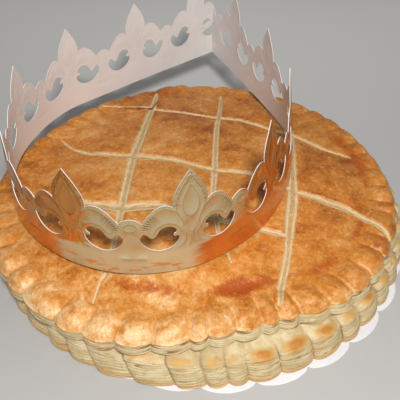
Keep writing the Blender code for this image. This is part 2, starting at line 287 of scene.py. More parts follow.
@dataclass(frozen=True)
class GlazedCrust:
    """Egg-glazed puff pastry: golden, browner on its high spots, with painted light mixed into its
    browning.
    """

    pale: Colour = (0.85, 0.57, 0.31)
    light: Colour = (0.68, 0.32, 0.090)
    golden: Colour = (0.54, 0.185, 0.020)
    brown: Colour = (0.30, 0.070, 0.008)
    red: Colour = (0.40, 0.075, 0.010)
    speck: Colour = (0.86, 0.55, 0.24)
    flake: Colour = (0.80, 0.56, 0.28)
    crumb: Colour = (0.58, 0.40, 0.18)
    crumb_pale: Colour = (0.80, 0.64, 0.40)
    crumb_dark: Colour = (0.40, 0.21, 0.065)
    edge: Colour = (0.46, 0.21, 0.055)
    # Near-black painted shade inside the tear.
    crack: Colour = (0.10, 0.035, 0.012)
    roughness: float = 0.36

    def build(self) -> Any:
        """Make the crust's material.

        Returns:
            The material.
        """
        s = Shade("glazed_crust")
        # Browning mixed with painted light: paler towards the front, darker towards the back.
        bake = s.trait("bake")
        ring = s.trait("ring")
        cut = s.trait("cut")
        lip = s.trait("lip")
        broad = s.noise(0.045, 3.0, 0.6, 0.4)
        mottle = s.noise(0.0110, 5.0, 0.60, 0.5)
        grain = s.noise(0.0019, 3.0, 0.60, 0.4, s.stretch((1.0, 0.7, 1.0)))
        lively = bake.step(0.50, 0.28)
        blotch = (mottle - 0.5) * (lively * 0.9 + 1.2) + (grain - 0.5) * (lively * 0.7 + 0.7)
        level = bake + (broad - 0.5) * 1.4 + blotch
        base = s.tint(level.step(-0.30, 0.20), self.pale, self.light)
        base = s.tint(level.step(0.05, 0.60), base, self.golden)
        base = s.tint(level.step(0.50, 1.05), base, self.brown)
        broken = (s.noise(0.013, 5.0, 0.70, 0.9) - 0.5) * 2.3 * (ring * 3.0).lowest(1.0)
        patch = ring + broken + (grain - 0.5) * 0.9
        base = s.tint(patch.step(0.10, 1.05) * 0.95, base, self.red)
        flecks = s.noise(0.0030, 4.0, 0.66, 0.3) + (grain - 0.5) * 0.6 - level * 0.12
        specks = (flecks - ring * 0.12).step(0.40, 0.64)
        base = s.tint(specks * 0.34, base, self.speck)
        flakes = s.trait("flake") + (flecks - 0.5) * 1.1
        base = s.tint(flakes.step(0.35, 0.95) * 0.75, base, self.flake)
        ragged = cut + (s.noise(0.0040, 5.0, 0.70) - 0.5) * 0.95
        open_cut = ragged.step(1.25, 0.72)
        crease = ragged.step(0.40, 0.10)
        inside = s.tint(s.noise(0.006, 4.0, 0.6), self.crumb, self.crumb_pale)
        inside = s.tint(crease * 0.6, inside, self.crumb_dark)
        strand = (cut * 11.0 + s.noise(0.007, 3.0, 0.6) * 9.0).sine()
        inside = s.tint(strand.step(0.40, 0.95) * 0.5, inside, self.crumb_dark)
        base = s.tint(open_cut, base, inside)
        base = s.tint(lip.step(0.15, 0.8) * 0.9, base, self.edge)
        # Painted shade: near-black along the tear beside the first crossing.
        base = s.tint(s.trait("crack"), base, self.crack)
        wrinkle = s.noise(0.0016, 3.0, 0.6, 0.5)
        normal = s.bump(mottle * 0.5 + grain * 0.5, 0.0012)
        normal = s.bump(wrinkle, 0.00025, normal)
        rough = self.roughness + (mottle - 0.5) * 0.5 + open_cut * 0.3
        return s.close({
            "Base Color": base,
            "Roughness": rough,
            "Normal": normal,
            "Specular IOR Level": 0.30,
            "Subsurface Weight": 0.06,
            "Subsurface Radius": (0.004, 0.002, 0.001),
            "Subsurface Scale": 1.0,
        })


@dataclass(frozen=True)
class FlakyLayers:
    """Pale leaves of puff pastry seen from the side."""

    cream: Colour = (0.54, 0.415, 0.21)
    pale: Colour = (0.73, 0.61, 0.385)
    tan: Colour = (0.52, 0.31, 0.11)
    wash: Colour = (0.50, 0.205, 0.038)
    thin_wash: Colour = (0.58, 0.335, 0.092)
    # Painted shade of the gaps between leaves, the seam and the creases.
    gap: Colour = (0.25, 0.115, 0.030)
    foot: Colour = (0.62, 0.35, 0.115)

    def build(self) -> Any:
        """Make the layered side's material.

        Returns:
            The material.
        """
        s = Shade("flaky_layers")
        leaf = s.trait("leaf")
        wash = s.trait("wash")
        foot = s.trait("foot")
        gap = s.trait("gap")
        x, y, _ = s.axes()
        flat = s.add("ShaderNodeCombineXYZ", None, {0: x, 1: y, 2: s.trait("layer") * 0.006})
        streak = s.noise(0.009, 5.0, 0.65, 0.3, flat)
        patch = s.noise(0.018, 3.0, 0.5)
        base = s.tint(streak.step(0.35, 0.68), self.cream, self.pale)
        toasted = leaf + (streak - 0.5) * 2.0 + (patch - 0.5)
        base = s.tint(toasted.step(0.50, 1.20) * 0.7, base, self.tan)
        # Painted shade: dark gaps between leaves, the seam and the creases.
        base = s.tint(gap.step(0.05, 0.95) * 0.88, base, self.gap)
        browned = (foot + (patch - 0.5) * 0.8).step(0.35, 0.95)
        base = s.tint(browned * 0.6, base, self.foot)
        gold = wash + (s.noise(0.007, 4.0, 0.6, 0.5) - 0.5) * 0.8
        base = s.tint(gold.step(0.12, 0.55) * 0.9, base, self.thin_wash)
        base = s.tint(gold.step(0.50, 1.05), base, self.wash)
        fine = s.noise(0.0022, 4.0, 0.6, 0.0, s.stretch((0.6, 0.6, 2.5)))
        normal = s.bump(fine * 0.6 + streak * 0.5, 0.0009)
        return s.close({
            "Base Color": base,
            "Roughness": 0.68 - gold.step(0.3, 0.9) * 0.25,
            "Normal": normal,
            "Specular IOR Level": 0.35,
            "Subsurface Weight": 0.08,
            "Subsurface Radius": (0.004, 0.0025, 0.0015),
            "Subsurface Scale": 1.0,
        })


@dataclass(frozen=True)
class GoldFoil:
    """Mirror-like gold foil on embossed card, with the crust's reflection painted on."""

    gold: Colour = (0.52, 0.41, 0.225)
    # Paler foil on the band below the petals: painted reflection.
    band: Colour = (0.57, 0.48, 0.29)
    # Orange painted reflection of the crust, above the band and on it.
    crust_reflection: Colour = (0.71, 0.26, 0.048)
    crust_reflection_band: Colour = (0.72, 0.30, 0.062)
    # Painted shade in the stipple dots and hatch lines.
    pit_shade: Colour = (0.36, 0.24, 0.10)
    # Painted shade along the pressed lines.
    pressed_shade: Colour = (0.20, 0.12, 0.045)
    # Edges of the painted reflection of the crust, left and right.
    reflection_left: float = -0.056
    reflection_right: float = 0.020
    roughness: float = 0.22

    def build(self) -> Any:
        """Make the foil's material.

        Returns:
            The material.
        """
        s = Shade("gold_foil")
        wave = s.noise(0.030, 2.0, 0.5)
        grain = s.noise(0.0016, 2.0, 0.5)
        stipple = s.trait("stipple")
        hatched = s.trait("hatched")
        dots = s.cells(0.0011)
        lines = (s.trait("hatch") * TAU).sine()
        normal = s.bump(wave + grain * 0.03, 0.0008)
        normal = s.bump(dots * stipple * 0.6 + lines * 0.25 * hatched, 0.0008, normal)
        x, y, tall = s.axes()
        low = tall.step(0.060, 0.052)
        # Painted reflection: where the orange crust shows on the foil's front, left, right and in flecks on
        # the petals.
        streaks = s.noise(0.012, 3.0, 0.6, 0.3, s.stretch((1.0, 1.0, 4.0)))
        reach = x + (wave - 0.5) * 0.016 + (streaks - 0.5) * 0.018
        right = (reach - self.reflection_right + low * 0.026).step(0.0, 0.011)
        left = (reach - self.reflection_left + low * 0.021).step(0.0, -0.008)
        reflection_fleck = s.noise(0.0105, 2.0, 0.5, 0.0, s.stretch((1.0, 1.0, 2.6))).step(0.53, 0.61)
        reflection_fleck = reflection_fleck * tall.step(0.050, 0.045)
        fore = y.step(0.055, 0.0)
        crust_reflection = right.highest(left).highest(reflection_fleck * 0.6) * fore
        # Band paler than the petals: painted reflection.
        colour = s.tint(low, self.gold, self.band)
        # Painted reflection of the crust over the foil's colour.
        colour = s.tint(crust_reflection * 0.95, colour, s.tint(low, self.crust_reflection_band, self.crust_reflection))
        # Painted shade in the pressed dots and hatch lines.
        colour = s.tint(stipple * dots.step(0.45, 0.15) * 0.55, colour, self.pit_shade)
        colour = s.tint(hatched * lines.step(0.2, 0.9) * 0.35, colour, self.pit_shade)
        # Painted shade along the pressed lines.
        colour = s.tint(s.trait("press").step(0.2, 0.9) * 0.5, colour, self.pressed_shade)
        return s.close({
            "Base Color": colour,
            "Metallic": 0.52 + crust_reflection * 0.40 - low * 0.20,
            "Roughness": self.roughness + stipple * 0.10,
            "Normal": normal,
        })


@dataclass(frozen=True)
class WhiteCard:
    """Smooth white card, a little warm."""

    name: str = "white_card"
    white: Colour = (0.83, 0.80, 0.78)
    roughness: float = 0.62

    def build(self) -> Any:
        """Make the card's material.

        Returns:
            The material.
        """
        s = Shade(self.name)
        fibre = s.noise(0.0022, 3.0, 0.6)
        cloud = s.noise(0.03, 2.0, 0.5)
        dim = tuple(v * 0.94 for v in self.white)
        base = s.tint(cloud.step(0.35, 0.7), self.white, dim)
        return s.close({
            "Base Color": base,
            "Roughness": self.roughness + (fibre - 0.5) * 0.1,
            "Normal": s.bump(fibre, 0.00012),
            "Specular IOR Level": 0.35,
        })


@dataclass(frozen=True)
class FloorPaint:
    """Plain pale floor."""

    near: Colour = (0.46, 0.455, 0.445)
    far: Colour = (0.90, 0.885, 0.85)

    def build(self) -> Any:
        """Make the floor's material, paler where less light reaches it.

        Returns:
            The material.
        """
        s = Shade("pale_floor")
        _, y, _ = s.axes()
        base = s.tint(y.step(-0.05, 0.42), self.near, self.far)
        return s.close({"Base Color": base, "Roughness": 0.85})


# ---------------------------------------------------------------- number tools


HASH_AXES = (73856093, 19349663, 83492791)
HASH_SEED = 2654435761
HASH_FIRST = 1103515245
HASH_STEP = 12345
HASH_SECOND = 1274126177
HASH_MASK = 0xFFFFFFFF


def lattice(points: Array, seed: int) -> Array:
    """Smooth random values from -1 to 1 on a unit lattice.

    Args:
        points: One row of coordinates per point.
        seed: Fixed seed.

    Returns:
        One value per point.
    """
    cell = np.floor(points).astype(np.int64)
    part = points - cell
    part = part * part * (3.0 - 2.0 * part)
    total = np.zeros(len(points))
    for corner in range(8):
        shift = np.array([(corner >> k) & 1 for k in range(3)])
        key = cell + shift
        mixed = key[:, 0] * HASH_AXES[0] ^ key[:, 1] * HASH_AXES[1] ^ key[:, 2] * HASH_AXES[2]
        mixed = (mixed ^ (seed * HASH_SEED)) & HASH_MASK
        mixed = (mixed * HASH_FIRST + HASH_STEP) & HASH_MASK
        mixed = ((mixed >> 13) ^ mixed) * HASH_SECOND & HASH_MASK
        value = (mixed & 0xFFFF) / 32767.5 - 1.0
        weight = np.prod(np.where(shift == 1, part, 1.0 - part), axis=1)
        total += value * weight
    return total


def clouds(points: Array, size: float, octaves: int, seed: int) -> Array:
    """Layered smooth noise from about -1 to 1.

    Args:
        points: One row of coordinates per point, in metres.
        size: Size of the broadest bumps in metres.
        octaves: Number of layers.
        seed: Fixed seed.

    Returns:
        One value per point.
    """
    total = np.zeros(len(points))
    gain = 1.0
    for octave in range(octaves):
        total += gain * lattice(points / size * 2.0**octave + 17.3 * octave, seed + octave)
        gain *= 0.5
    return total / 1.6


def ramp(values: Number, low: float, high: float) -> Number:
    """Smooth step from 0 at low to 1 at high.

    Args:
        values: Numbers.
        low: Where the result is 0.
        high: Where the result is 1.

    Returns:
        Values from 0 to 1.
    """
    share = np.clip((values - low) / (high - low), 0.0, 1.0)
    return share * share * (3.0 - 2.0 * share)


def bell(values: Number, width: Number) -> Number:
    """Bell curve: 1 at 0."""
    return np.exp(-((values / width) ** 2))


def wrapped(angle: Array) -> Array:
    """Angles brought between minus pi and pi."""
    return (angle + math.pi) % TAU - math.pi


def plan(x: Array, y: Array, tall: Number = 0.0) -> Array:
    """Points at these plan places, flat unless a height is given."""
    return np.stack([x, y, np.broadcast_to(tall, x.shape)], 1)


def polar(radius: Number, angle: Array, tall: Number = 0.0) -> Array:
    """Points at these distances and angles round the middle."""
    return plan(radius * np.cos(angle), radius * np.sin(angle), tall)


def to_line(x: Array, y: Array, start: Sequence[float], end: Sequence[float]) -> tuple[Array, Array]:
    """Measure plan points against a straight piece.

    Args:
        x: Plan positions.
        y: Plan positions.
        start: One end of the piece.
        end: The other end.

    Returns:
        Nearest place on the piece from 0 to 1, and the distance to it.
    """
    dx, dy = end[0] - start[0], end[1] - start[1]
    across, up = x - start[0], y - start[1]
    share = np.clip((across * dx + up * dy) / max(dx * dx + dy * dy, 1e-14), 0.0, 1.0)
    return share, np.hypot(across - share * dx, up - share * dy)


def add_object(name: str, data: Any) -> Any:
    """Add an object to the scene.

    Args:
        name: Its name.
        data: Its mesh, curve, lamp or camera.

    Returns:
        The object.
    """
    body = bpy.data.objects.new(name, data)
    bpy.context.scene.collection.objects.link(body)
    return body


def add_mesh(name: str, points: Sequence, faces: Sequence) -> Any:
    """Add a mesh object.

    Args:
        name: Its name.
        points: Corner positions.
        faces: Corner numbers of each face.

    Returns:
        The object.
    """
    mesh = bpy.data.meshes.new(name)
    mesh.from_pydata(points, [], faces)
    mesh.update()
    return add_object(name, mesh)


def keep_values(mesh: Any, name: str, values: Array, domain: str = "POINT") -> None:
    """Keep one number per point or face on a mesh.

    Args:
        mesh: The mesh.
        name: Name of the numbers.
        values: The numbers.
        domain: POINT or FACE.
    """
    layer = mesh.attributes.new(name, "FLOAT", domain)
    layer.data.foreach_set("value", np.asarray(values, np.float32))


def outward(body: Any) -> Any:
    """Turn a closed body's faces outwards if its volume is negative.

    Args:
        body: The object.

    Returns:
        The same object.
    """
    mesh = body.data
    mesh.calc_loop_triangles()
    tris = np.empty(len(mesh.loop_triangles) * 3, np.int32)
    mesh.loop_triangles.foreach_get("vertices", tris)
    co = np.empty(len(mesh.vertices) * 3)
    mesh.vertices.foreach_get("co", co)
    a, b, c = np.moveaxis(co.reshape(-1, 3)[tris.reshape(-1, 3)], 1, 0)
    if np.einsum("ij,ij->i", a, np.cross(b, c)).sum() < 0.0:
        mesh.flip_normals()
    return body


@dataclass
class SkinMesh:
    """Collects rings of points, joins them and makes a mesh with traits."""

    name: str
    points: list[Array] = field(default_factory=list)
    faces: list[list[int]] = field(default_factory=list)
    starts: list[tuple[int, int]] = field(default_factory=list)
    size: int = 0

    def ring(self, ring: Array) -> None:
        """Add a ring, joined to the one before.

        Args:
            ring: Its points. It has as many as the last one, or twice as many.
        """
        start, count = self.size, len(ring)
        self.points.append(ring)
        self.size += count
        if self.starts:
            first, had = self.starts[-1]
            i = np.arange(had)
            j = (i + 1) % had
            if had == count:
                quad = np.stack([first + i, first + j, start + j, start + i], 1)
                self.faces.extend(quad.tolist())
            else:
                a, b, c = start + 2 * i, start + 2 * i + 1, start + (2 * i + 2) % count
                self.faces.extend(np.stack([first + i, b, a], 1).tolist())
                self.faces.extend(np.stack([first + i, first + j, b], 1).tolist())
                self.faces.extend(np.stack([first + j, c, b], 1).tolist())
        self.starts.append((start, count))

    def cap(self, centre: Sequence[float], first: bool) -> None:
        """Close the first or last ring with a fan to a centre point.

        Args:
            centre: The middle point.
            first: Close the first ring, not the last.
        """
        start, count = self.starts[0 if first else -1]
        middle = self.size
        self.points.append(np.array([centre], float))
        self.size += 1
        for i in range(count):
            pair = [start + i, start + (i + 1) % count]
            self.faces.append([middle, *reversed(pair)] if first else [middle, *pair])

    def build(self, traits: Callable[[Array], dict[str, Array]]) -> Any:
        """Make the object.

        Args:
            traits: Gives the named numbers for all points.

        Returns:
            The closed object, its faces outwards.
        """
        points = np.concatenate(self.points)
        body = add_mesh(self.name, points.tolist(), self.faces)
        for name, values in traits(points).items():
            keep_values(body.data, name, values)
        body.data.shade_smooth()
        return outward(body)


# -------------------------------------------------------------------- pastry


def notch_table(front: Sequence[float], count: int) -> Array:
    """Angles of all notches: the uneven front ones, the rest spaced on.

    Args:
        front: Angles of the front notches in degrees.
        count: Number of scallops.

    Returns:
        Angles in radians, with the first one repeated a turn later.
    """
    known = np.radians(np.array(front))
    rest = count - len(known) + 1
    gap = known[0] + TAU - known[-1]
    steps = np.arange(1, rest)
    spaced = known[-1] + gap * (steps + 0.16 * np.sin(2.4 * steps + 0.7)) / rest
    return np.concatenate([known, spaced, [known[0] + TAU]])


def turns(angle: Array, table: Array) -> Array:
    """Place round a rim, counted in scallops from the first notch."""
    return np.interp((angle - table[0]) % TAU + table[0], table, np.arange(len(table)))


def crest(place: Array, power: float = 0.55) -> Array:
    """0 in a notch and 1 on a crest."""
    return np.abs(np.sin(math.pi * place)) ** power


def around(angle: Array, centre: float, half: float) -> Array:
    """Bell curve round an angle, both in degrees."""
    return bell(wrapped(angle - math.radians(centre)), math.radians(half))


@dataclass
class PastryForm:
    """Sizes shared by both tiers, and the curves they give.

    The front notches are angles in degrees, round from the right side (+X).
    """

    base_front: tuple = (-121.7, -114.0, -104.4, -95.2, -88.2, -83.3, -78.8, -70.9, -62.4,
                         -53.6, -46.8, -38.3, -30.5)
    base_scallops: int = 47
    base_radius: float = 0.1403
    base_notch: float = 0.0036
    base_top: float = 0.0195
    base_bottom: float = 0.0009
    lid_front: tuple = (-136.0, -124.5, -117.0, -109.5, -101.3, -92.3, -88.0, -81.2, -74.0,
                        -69.2, -63.8, -55.4, -48.4, -40.2, -32.0, -26.0, -14.8, -10.2, -2.5,
                        6.2, 14.8, 20.8, 31.0)
    lid_scallops: int = 47
    lid_radius: float = 0.1316
    lid_notch: float = 0.0034
    lid_flare: float = 0.0024
    side_bulge: float = 0.0100
    dip: float = 0.0086
    rim: float = 0.0328
    edge_drop: float = 0.0046
    valley_inset: float = 0.0185
    valley: float = 0.0303
    back_lift: float = 0.0016
    dome: float = 0.0390
    dome_power: float = 2.6

    def __post_init__(self) -> None:
        """Work out all notch angles."""
        self.base_table = notch_table(self.base_front, self.base_scallops)
        self.lid_table = notch_table(self.lid_front, self.lid_scallops)

    @staticmethod
    def wander(angle: Array, seed: float) -> Array:
        """Gentle hand-made unevenness."""
        return 0.6 * np.sin(3.0 * angle + seed) + 0.4 * np.sin(7.0 * angle + 2.3 * seed)

    def base_edge(self, angle: Array) -> Array:
        """Outer radius of the lower tier."""
        top = crest(turns(angle, self.base_table))
        return self.base_radius - self.base_notch * (1.0 - top) + 0.0008 * self.wander(angle, 1.0)

    @staticmethod
    def base_slant(angle: Array) -> Array:
        """How far the pressed notches lean round the side, from foot to top."""
        return math.radians(0.8) + math.radians(2.8) * around(angle, -107.0, 19.0)

    @staticmethod
    def side_share(angle: Array) -> Array:
        """1 where the upper tier bulges to the side, falling to 0."""
        return np.exp(-((np.abs(wrapped(angle - math.radians(-147.0))) / math.radians(52.0)) ** 4))

    @staticmethod
    def front_share(angle: Array) -> Array:
        """Share of the rim's full depth of pressing, most at the front."""
        return 0.4 + 0.6 * around(angle, -85.0, 75.0)

    @staticmethod
    def back_share(angle: Array) -> Array:
        """1 at the back, where the rim is nearly level with the dome."""
        return around(angle, 100.0, 55.0)

    def lid_outline(self, angle: Array) -> Array:
        """Radius of the upper tier before its scallops.

        Args:
            angle: Angles round the tier.

        Returns:
            Radii in metres.
        """
        front = wrapped(angle - math.radians(-70.0))
        dip = self.dip * bell(front, np.radians(np.where(front < 0.0, 30.0, 15.0)))
        radius = self.lid_radius + self.side_bulge * self.side_share(angle)
        return radius - dip + 0.0005 * self.wander(angle, 4.0)

    def lid_edge(self, angle: Array) -> Array:
        """Outer radius of the upper tier."""
        top = crest(turns(angle, self.lid_table))
        return self.lid_outline(angle) - self.lid_notch * self.front_share(angle) * (1.0 - top)


@dataclass
class ScoredGrid:
    """Cuts in the dome: plan stations in metres, each with a half width in millimetres."""

    lines: tuple = (
        ((-0.0370, 0.1150, 1.5), (-0.0373, 0.1000, 2.6), (-0.0403, 0.0760, 2.8), (-0.0445, 0.0423, 3.4),
         (-0.0477, 0.0166, 3.2), (-0.0499, -0.0304, 3.0), (-0.0515, -0.0640, 2.0), (-0.0540, -0.0876, 1.1),
         (-0.0564, -0.0914, 0.9), (-0.0585, -0.1059, 0.7)),
        ((0.0177, 0.1110, 1.2), (0.0160, 0.0842, 1.9), (0.0124, 0.0533, 2.3), (0.0101, 0.0025, 2.4),
         (0.0085, -0.0207, 2.2), (0.0110, -0.0560, 1.6), (0.0180, -0.0790, 0.9)),
        ((0.0720, 0.0850, 1.2), (0.0695, 0.0600, 1.8), (0.0681, 0.0393, 2.3), (0.0630, -0.0050, 3.2),
         (0.0602, -0.0274, 4.1), (0.0561, -0.0474, 3.6), (0.0524, -0.0696, 2.3), (0.0493, -0.0823, 2.4),
         (0.0454, -0.0960, 2.3), (0.0437, -0.1075, 1.5)),
        ((-0.0799, 0.0950, 0.9), (-0.0560, 0.0925, 1.5), (-0.0407, 0.0890, 1.8), (-0.0322, 0.0860, 2.0),
         (-0.0159, 0.0813, 1.8), (0.0156, 0.0712, 2.2), (0.0312, 0.0689, 2.4), (0.0520, 0.0575, 2.3),
         (0.0696, 0.0510, 2.4), (0.0886, 0.0361, 2.3), (0.1025, 0.0300, 1.4), (0.1093, 0.0266, 0.7)),
        ((-0.1044, 0.0474, 0.8), (-0.0933, 0.0334, 1.4), (-0.0800, 0.0255, 2.2), (-0.0476, 0.0194, 3.0),
         (-0.0189, 0.0141, 2.6), (0.0096, 0.0025, 2.3), (0.0334, -0.0009, 2.1), (0.0630, -0.0184, 2.2),
         (0.0728, -0.0219, 2.6), (0.0840, -0.0267, 3.2), (0.0938, -0.0308, 3.0), (0.0996, -0.0348, 2.5),
         (0.1053, -0.0395, 2.6), (0.1116, -0.0460, 2.0), (0.1173, -0.0547, 1.3)),
        ((-0.0980, -0.0220, 1.0), (-0.0823, -0.0279, 2.2), (-0.0483, -0.0348, 4.2), (-0.0280, -0.0331, 3.6),
         (0.0060, -0.0440, 2.4), (0.0378, -0.0542, 2.2), (0.0474, -0.0570, 2.6), (0.0560, -0.0590, 1.4)),
    )

    def nearest(self, x: Array, y: Array) -> tuple[Array, Array]:
        """Find the nearest cut.

        Args:
            x: Plan positions.
            y: Plan positions.

        Returns:
            Distance in half widths, and distance in metres.
        """
        near, widths = np.full(len(x), FAR), np.full(len(x), FAR)
        for line in self.lines:
            for start, end in zip(line, line[1:]):
                share, away = to_line(x, y, start, end)
                half = (start[2] + (end[2] - start[2]) * share) * MILLIMETRE
                widths = np.minimum(widths, away / half)
                near = np.minimum(near, away)
        return widths, near


@dataclass
class CrustTop:
    """Glazed dome and scalloped rim of the upper tier.

    Browned stretches of the valley are a middle and a half width in degrees
    and a strength. The rings are shares of the edge's radius, first and last,
    with the points of each ring and the number of rings.
    """

    form: PastryForm
    grid: ScoredGrid = field(default_factory=ScoredGrid)
    columns: int = 888
    lip_thick: float = 0.0013
    press_depth: float = 0.0042
    lobe_puff: float = 0.0013
    drop_from: float = 0.72
    valley_fold: float = 0.0011
    valley_press: float = 0.0020
    broad_wrinkle: float = 0.0005
    fine_wrinkle: float = 0.00026
    sunk: float = 0.0005
    field_puff: float = 0.0009
    cut_depth: float = 0.0011
    crease_depth: float = 0.0006
    cut_edge: float = 0.0003
    bubble: float = 0.0026
    bubble_place: tuple[float, float] = (-0.022, 0.121)
    flap_lift: float = 0.0016
    tear: tuple = ((-0.060, 0.0885), (-0.050, 0.0868), (-0.0385, 0.0895), (-0.0352, 0.1005))
    browned: tuple = ((14.0, 19.0, 0.80), (-29.0, 7.0, 0.60), (-49.0, 10.0, 0.70),
                      (-76.0, 8.5, 1.35), (-104.0, 14.0, 0.65), (-140.0, 20.0, 0.15))
    rings: tuple = ((0.02, 0.125, 111, 11), (0.135, 0.265, 222, 18), (0.275, 0.53, 444, 35),
                    (0.54, 0.90, 888, 48), (0.9065, 1.0, 888, 15))

    @staticmethod
    def inward(angle: Array) -> Array:
        """How far inside the valley the browned line runs.

        Args:
            angle: Angles round the tier.

        Returns:
            Distances in metres.
        """
        places = (-160, -140, -120, -103, -92, -80, -68, -55, -30, -5, 12, 35, 60)
        depths = (0.0, 10.0, 17.0, 16.5, 8.5, 7.0, 6.5, 5.0, 3.5, -1.0, -2.0, -2.0, 0.0)
        return MILLIMETRE * np.interp(np.degrees(angle), places, depths)

    @staticmethod
    def dip(angle: Array) -> Array:
        """Share of the hollow pressed in beside the front notches."""
        return around(angle, -77.0, 8.0)

    def height(self, x: Array, y: Array) -> Array:
        """Height of the crust at plan points.

        Args:
            x: Plan positions.
            y: Plan positions.

        Returns:
            Heights in metres.
        """
        f = self.form
        angle = np.arctan2(y, x)
        radius = np.hypot(x, y)
        valley = f.lid_outline(angle) - f.valley_inset
        front, back = f.front_share(angle), f.back_share(angle)
        low = f.valley + f.back_lift * back
        inner = np.clip(radius / valley, 0.0, 1.0)
        dome = f.dome - (f.dome - low) * inner**f.dome_power
        share = np.clip((radius - valley) / f.valley_inset, 0.0, 1.0)
        puff = np.sin(math.pi * np.minimum(1.0, share * 1.18) * 0.62)
        lobe = crest(turns(angle, f.lid_table), 0.62)
        rim = low + (f.rim - low) * puff
        rim -= self.press_depth * front * (1.0 - lobe) * np.clip(share * 1.25, 0.0, 1.0) ** 0.7
        rim += self.lobe_puff * front * lobe * np.sin(math.pi * share)
        drop = np.clip(share - self.drop_from, 0.0, 1.0) / (1.0 - self.drop_from)
        rim -= f.edge_drop * drop**2
        tall = np.where(radius <= valley, dome, rim)
        place = plan(x, y)
        tall += self.valley_fold * (1.0 - 0.6 * back) * bell(radius - valley, 0.0060)
        pressed_shade = bell(radius - valley + self.inward(angle), 0.0050)
        tall -= self.valley_press * self.dip(angle) * pressed_shade
        tall += self.broad_wrinkle * clouds(place, 0.024, 3, 5) - self.sunk
        tall += self.fine_wrinkle * clouds(place, 0.005, 3, 9)
        cut, away = self.grid.nearest(x, y)
        tall += self.field_puff * ramp(away, 0.002, 0.016) * ramp(valley - radius, -0.006, 0.006)
        width = cut + 0.12 * clouds(place, 0.006, 2, 31)
        tall -= self.cut_depth * (1.0 - ramp(width, 0.75, 1.25))
        tall -= self.crease_depth * (1.0 - ramp(width, 0.05, 0.45))
        tall += self.cut_edge * bell(width - 1.25, 0.3)
        bubble_x, bubble_y = self.bubble_place
        tall += self.bubble * bell(np.hypot(x - bubble_x, y - bubble_y), 0.012)
        return tall + self.flap(x, y)

    def lip(self, angle: Array) -> Array:
        """Height of the crust's outer edge."""
        edge = self.form.lid_edge(angle)
        return self.height(edge * np.cos(angle), edge * np.sin(angle))

    def crack(self, x: Array, y: Array) -> Array:
        """Distance to the torn edge beside the first crossing, in metres."""
        pieces = zip(self.tear, self.tear[1:])
        return np.min([to_line(x, y, start, end)[1] for start, end in pieces], axis=0)

    def flap(self, x: Array, y: Array) -> Array:
        """Lift of the torn corner behind the crack.

        Args:
            x: Plan positions.
            y: Plan positions.

        Returns:
            Heights in metres.
        """
        behind = ramp(y - 0.0885 - 0.25 * (x + 0.040), -0.0004, 0.0006)
        beside = 1.0 - ramp(x + 0.0362 - 0.25 * (y - 0.0885), -0.0004, 0.0006)
        return self.flap_lift * behind * beside * bell(self.crack(x, y), 0.009)

    def traits(self, points: Array) -> dict[str, Array]:
        """Numbers that the finish reads.

        Args:
            points: All points of the crust.

        Returns:
            Named values.
        """
        f = self.form
        x, y, z = points.T
        angle = np.arctan2(y, x)
        radius = np.hypot(x, y)
        outline = f.lid_outline(angle)
        valley = outline - f.valley_inset
        share = np.clip((radius - valley) / f.valley_inset, 0.0, 1.0)
        lobe = crest(turns(angle, f.lid_table), 0.8)
        place = plan(x, y)
        # Painted light: darker towards the back and paler at the front, as if lit from the front.
        bake = 0.50 + 0.10 * (y / LID_REACH) - 0.12 * np.clip(-(y + 0.05) / 0.08, 0.0, 1.0)
        bake += 0.10 * np.clip(x / LID_REACH, 0.0, 1.0)
        bake += share * (0.20 * lobe - 0.26) * ramp(share, 0.05, 0.5)
        # Painted shade: darker in the front notches between the lobes.
        bake += 0.45 * f.front_share(angle) * share * bell(lobe, 0.16)
        bake += 0.12 * clouds(place, 0.03, 2, 12)
        bake -= 0.22 * ramp(share, 0.1, 0.8) * around(angle, -105.0, 32.0)
        phase = turns(angle, f.lid_table) % 1.0
        flake = bell(phase - 0.07, 0.045) * ramp(share, 0.10, 0.45) * f.front_share(angle)
        strength = np.full(len(x), 0.10)
        for centre, half, part in self.browned:
            strength += part * around(angle, centre, half)
        wide = 0.0036 + 0.0010 * np.sin(np.degrees(angle) * 0.11) + 0.0030 * self.dip(angle)
        line = radius - valley + self.inward(angle) + 0.002 * clouds(place, 0.02, 2, 7)
        ring = strength * bell(line, wide)
        cut, _ = self.grid.nearest(x, y)
        under = np.clip((self.lip(angle) - z) / self.lip_thick, 0.0, 1.0) * ramp(share, 0.9, 0.99)
        crack = 1.0 - ramp(self.crack(x, y), 0.0004, 0.0011)
        return {
            "bake": bake,
            "ring": ring,
            "cut": np.clip(cut, 0.0, 4.0),
            "lip": under,
            "flake": flake,
            "crack": crack * (z > 0.03),
        }

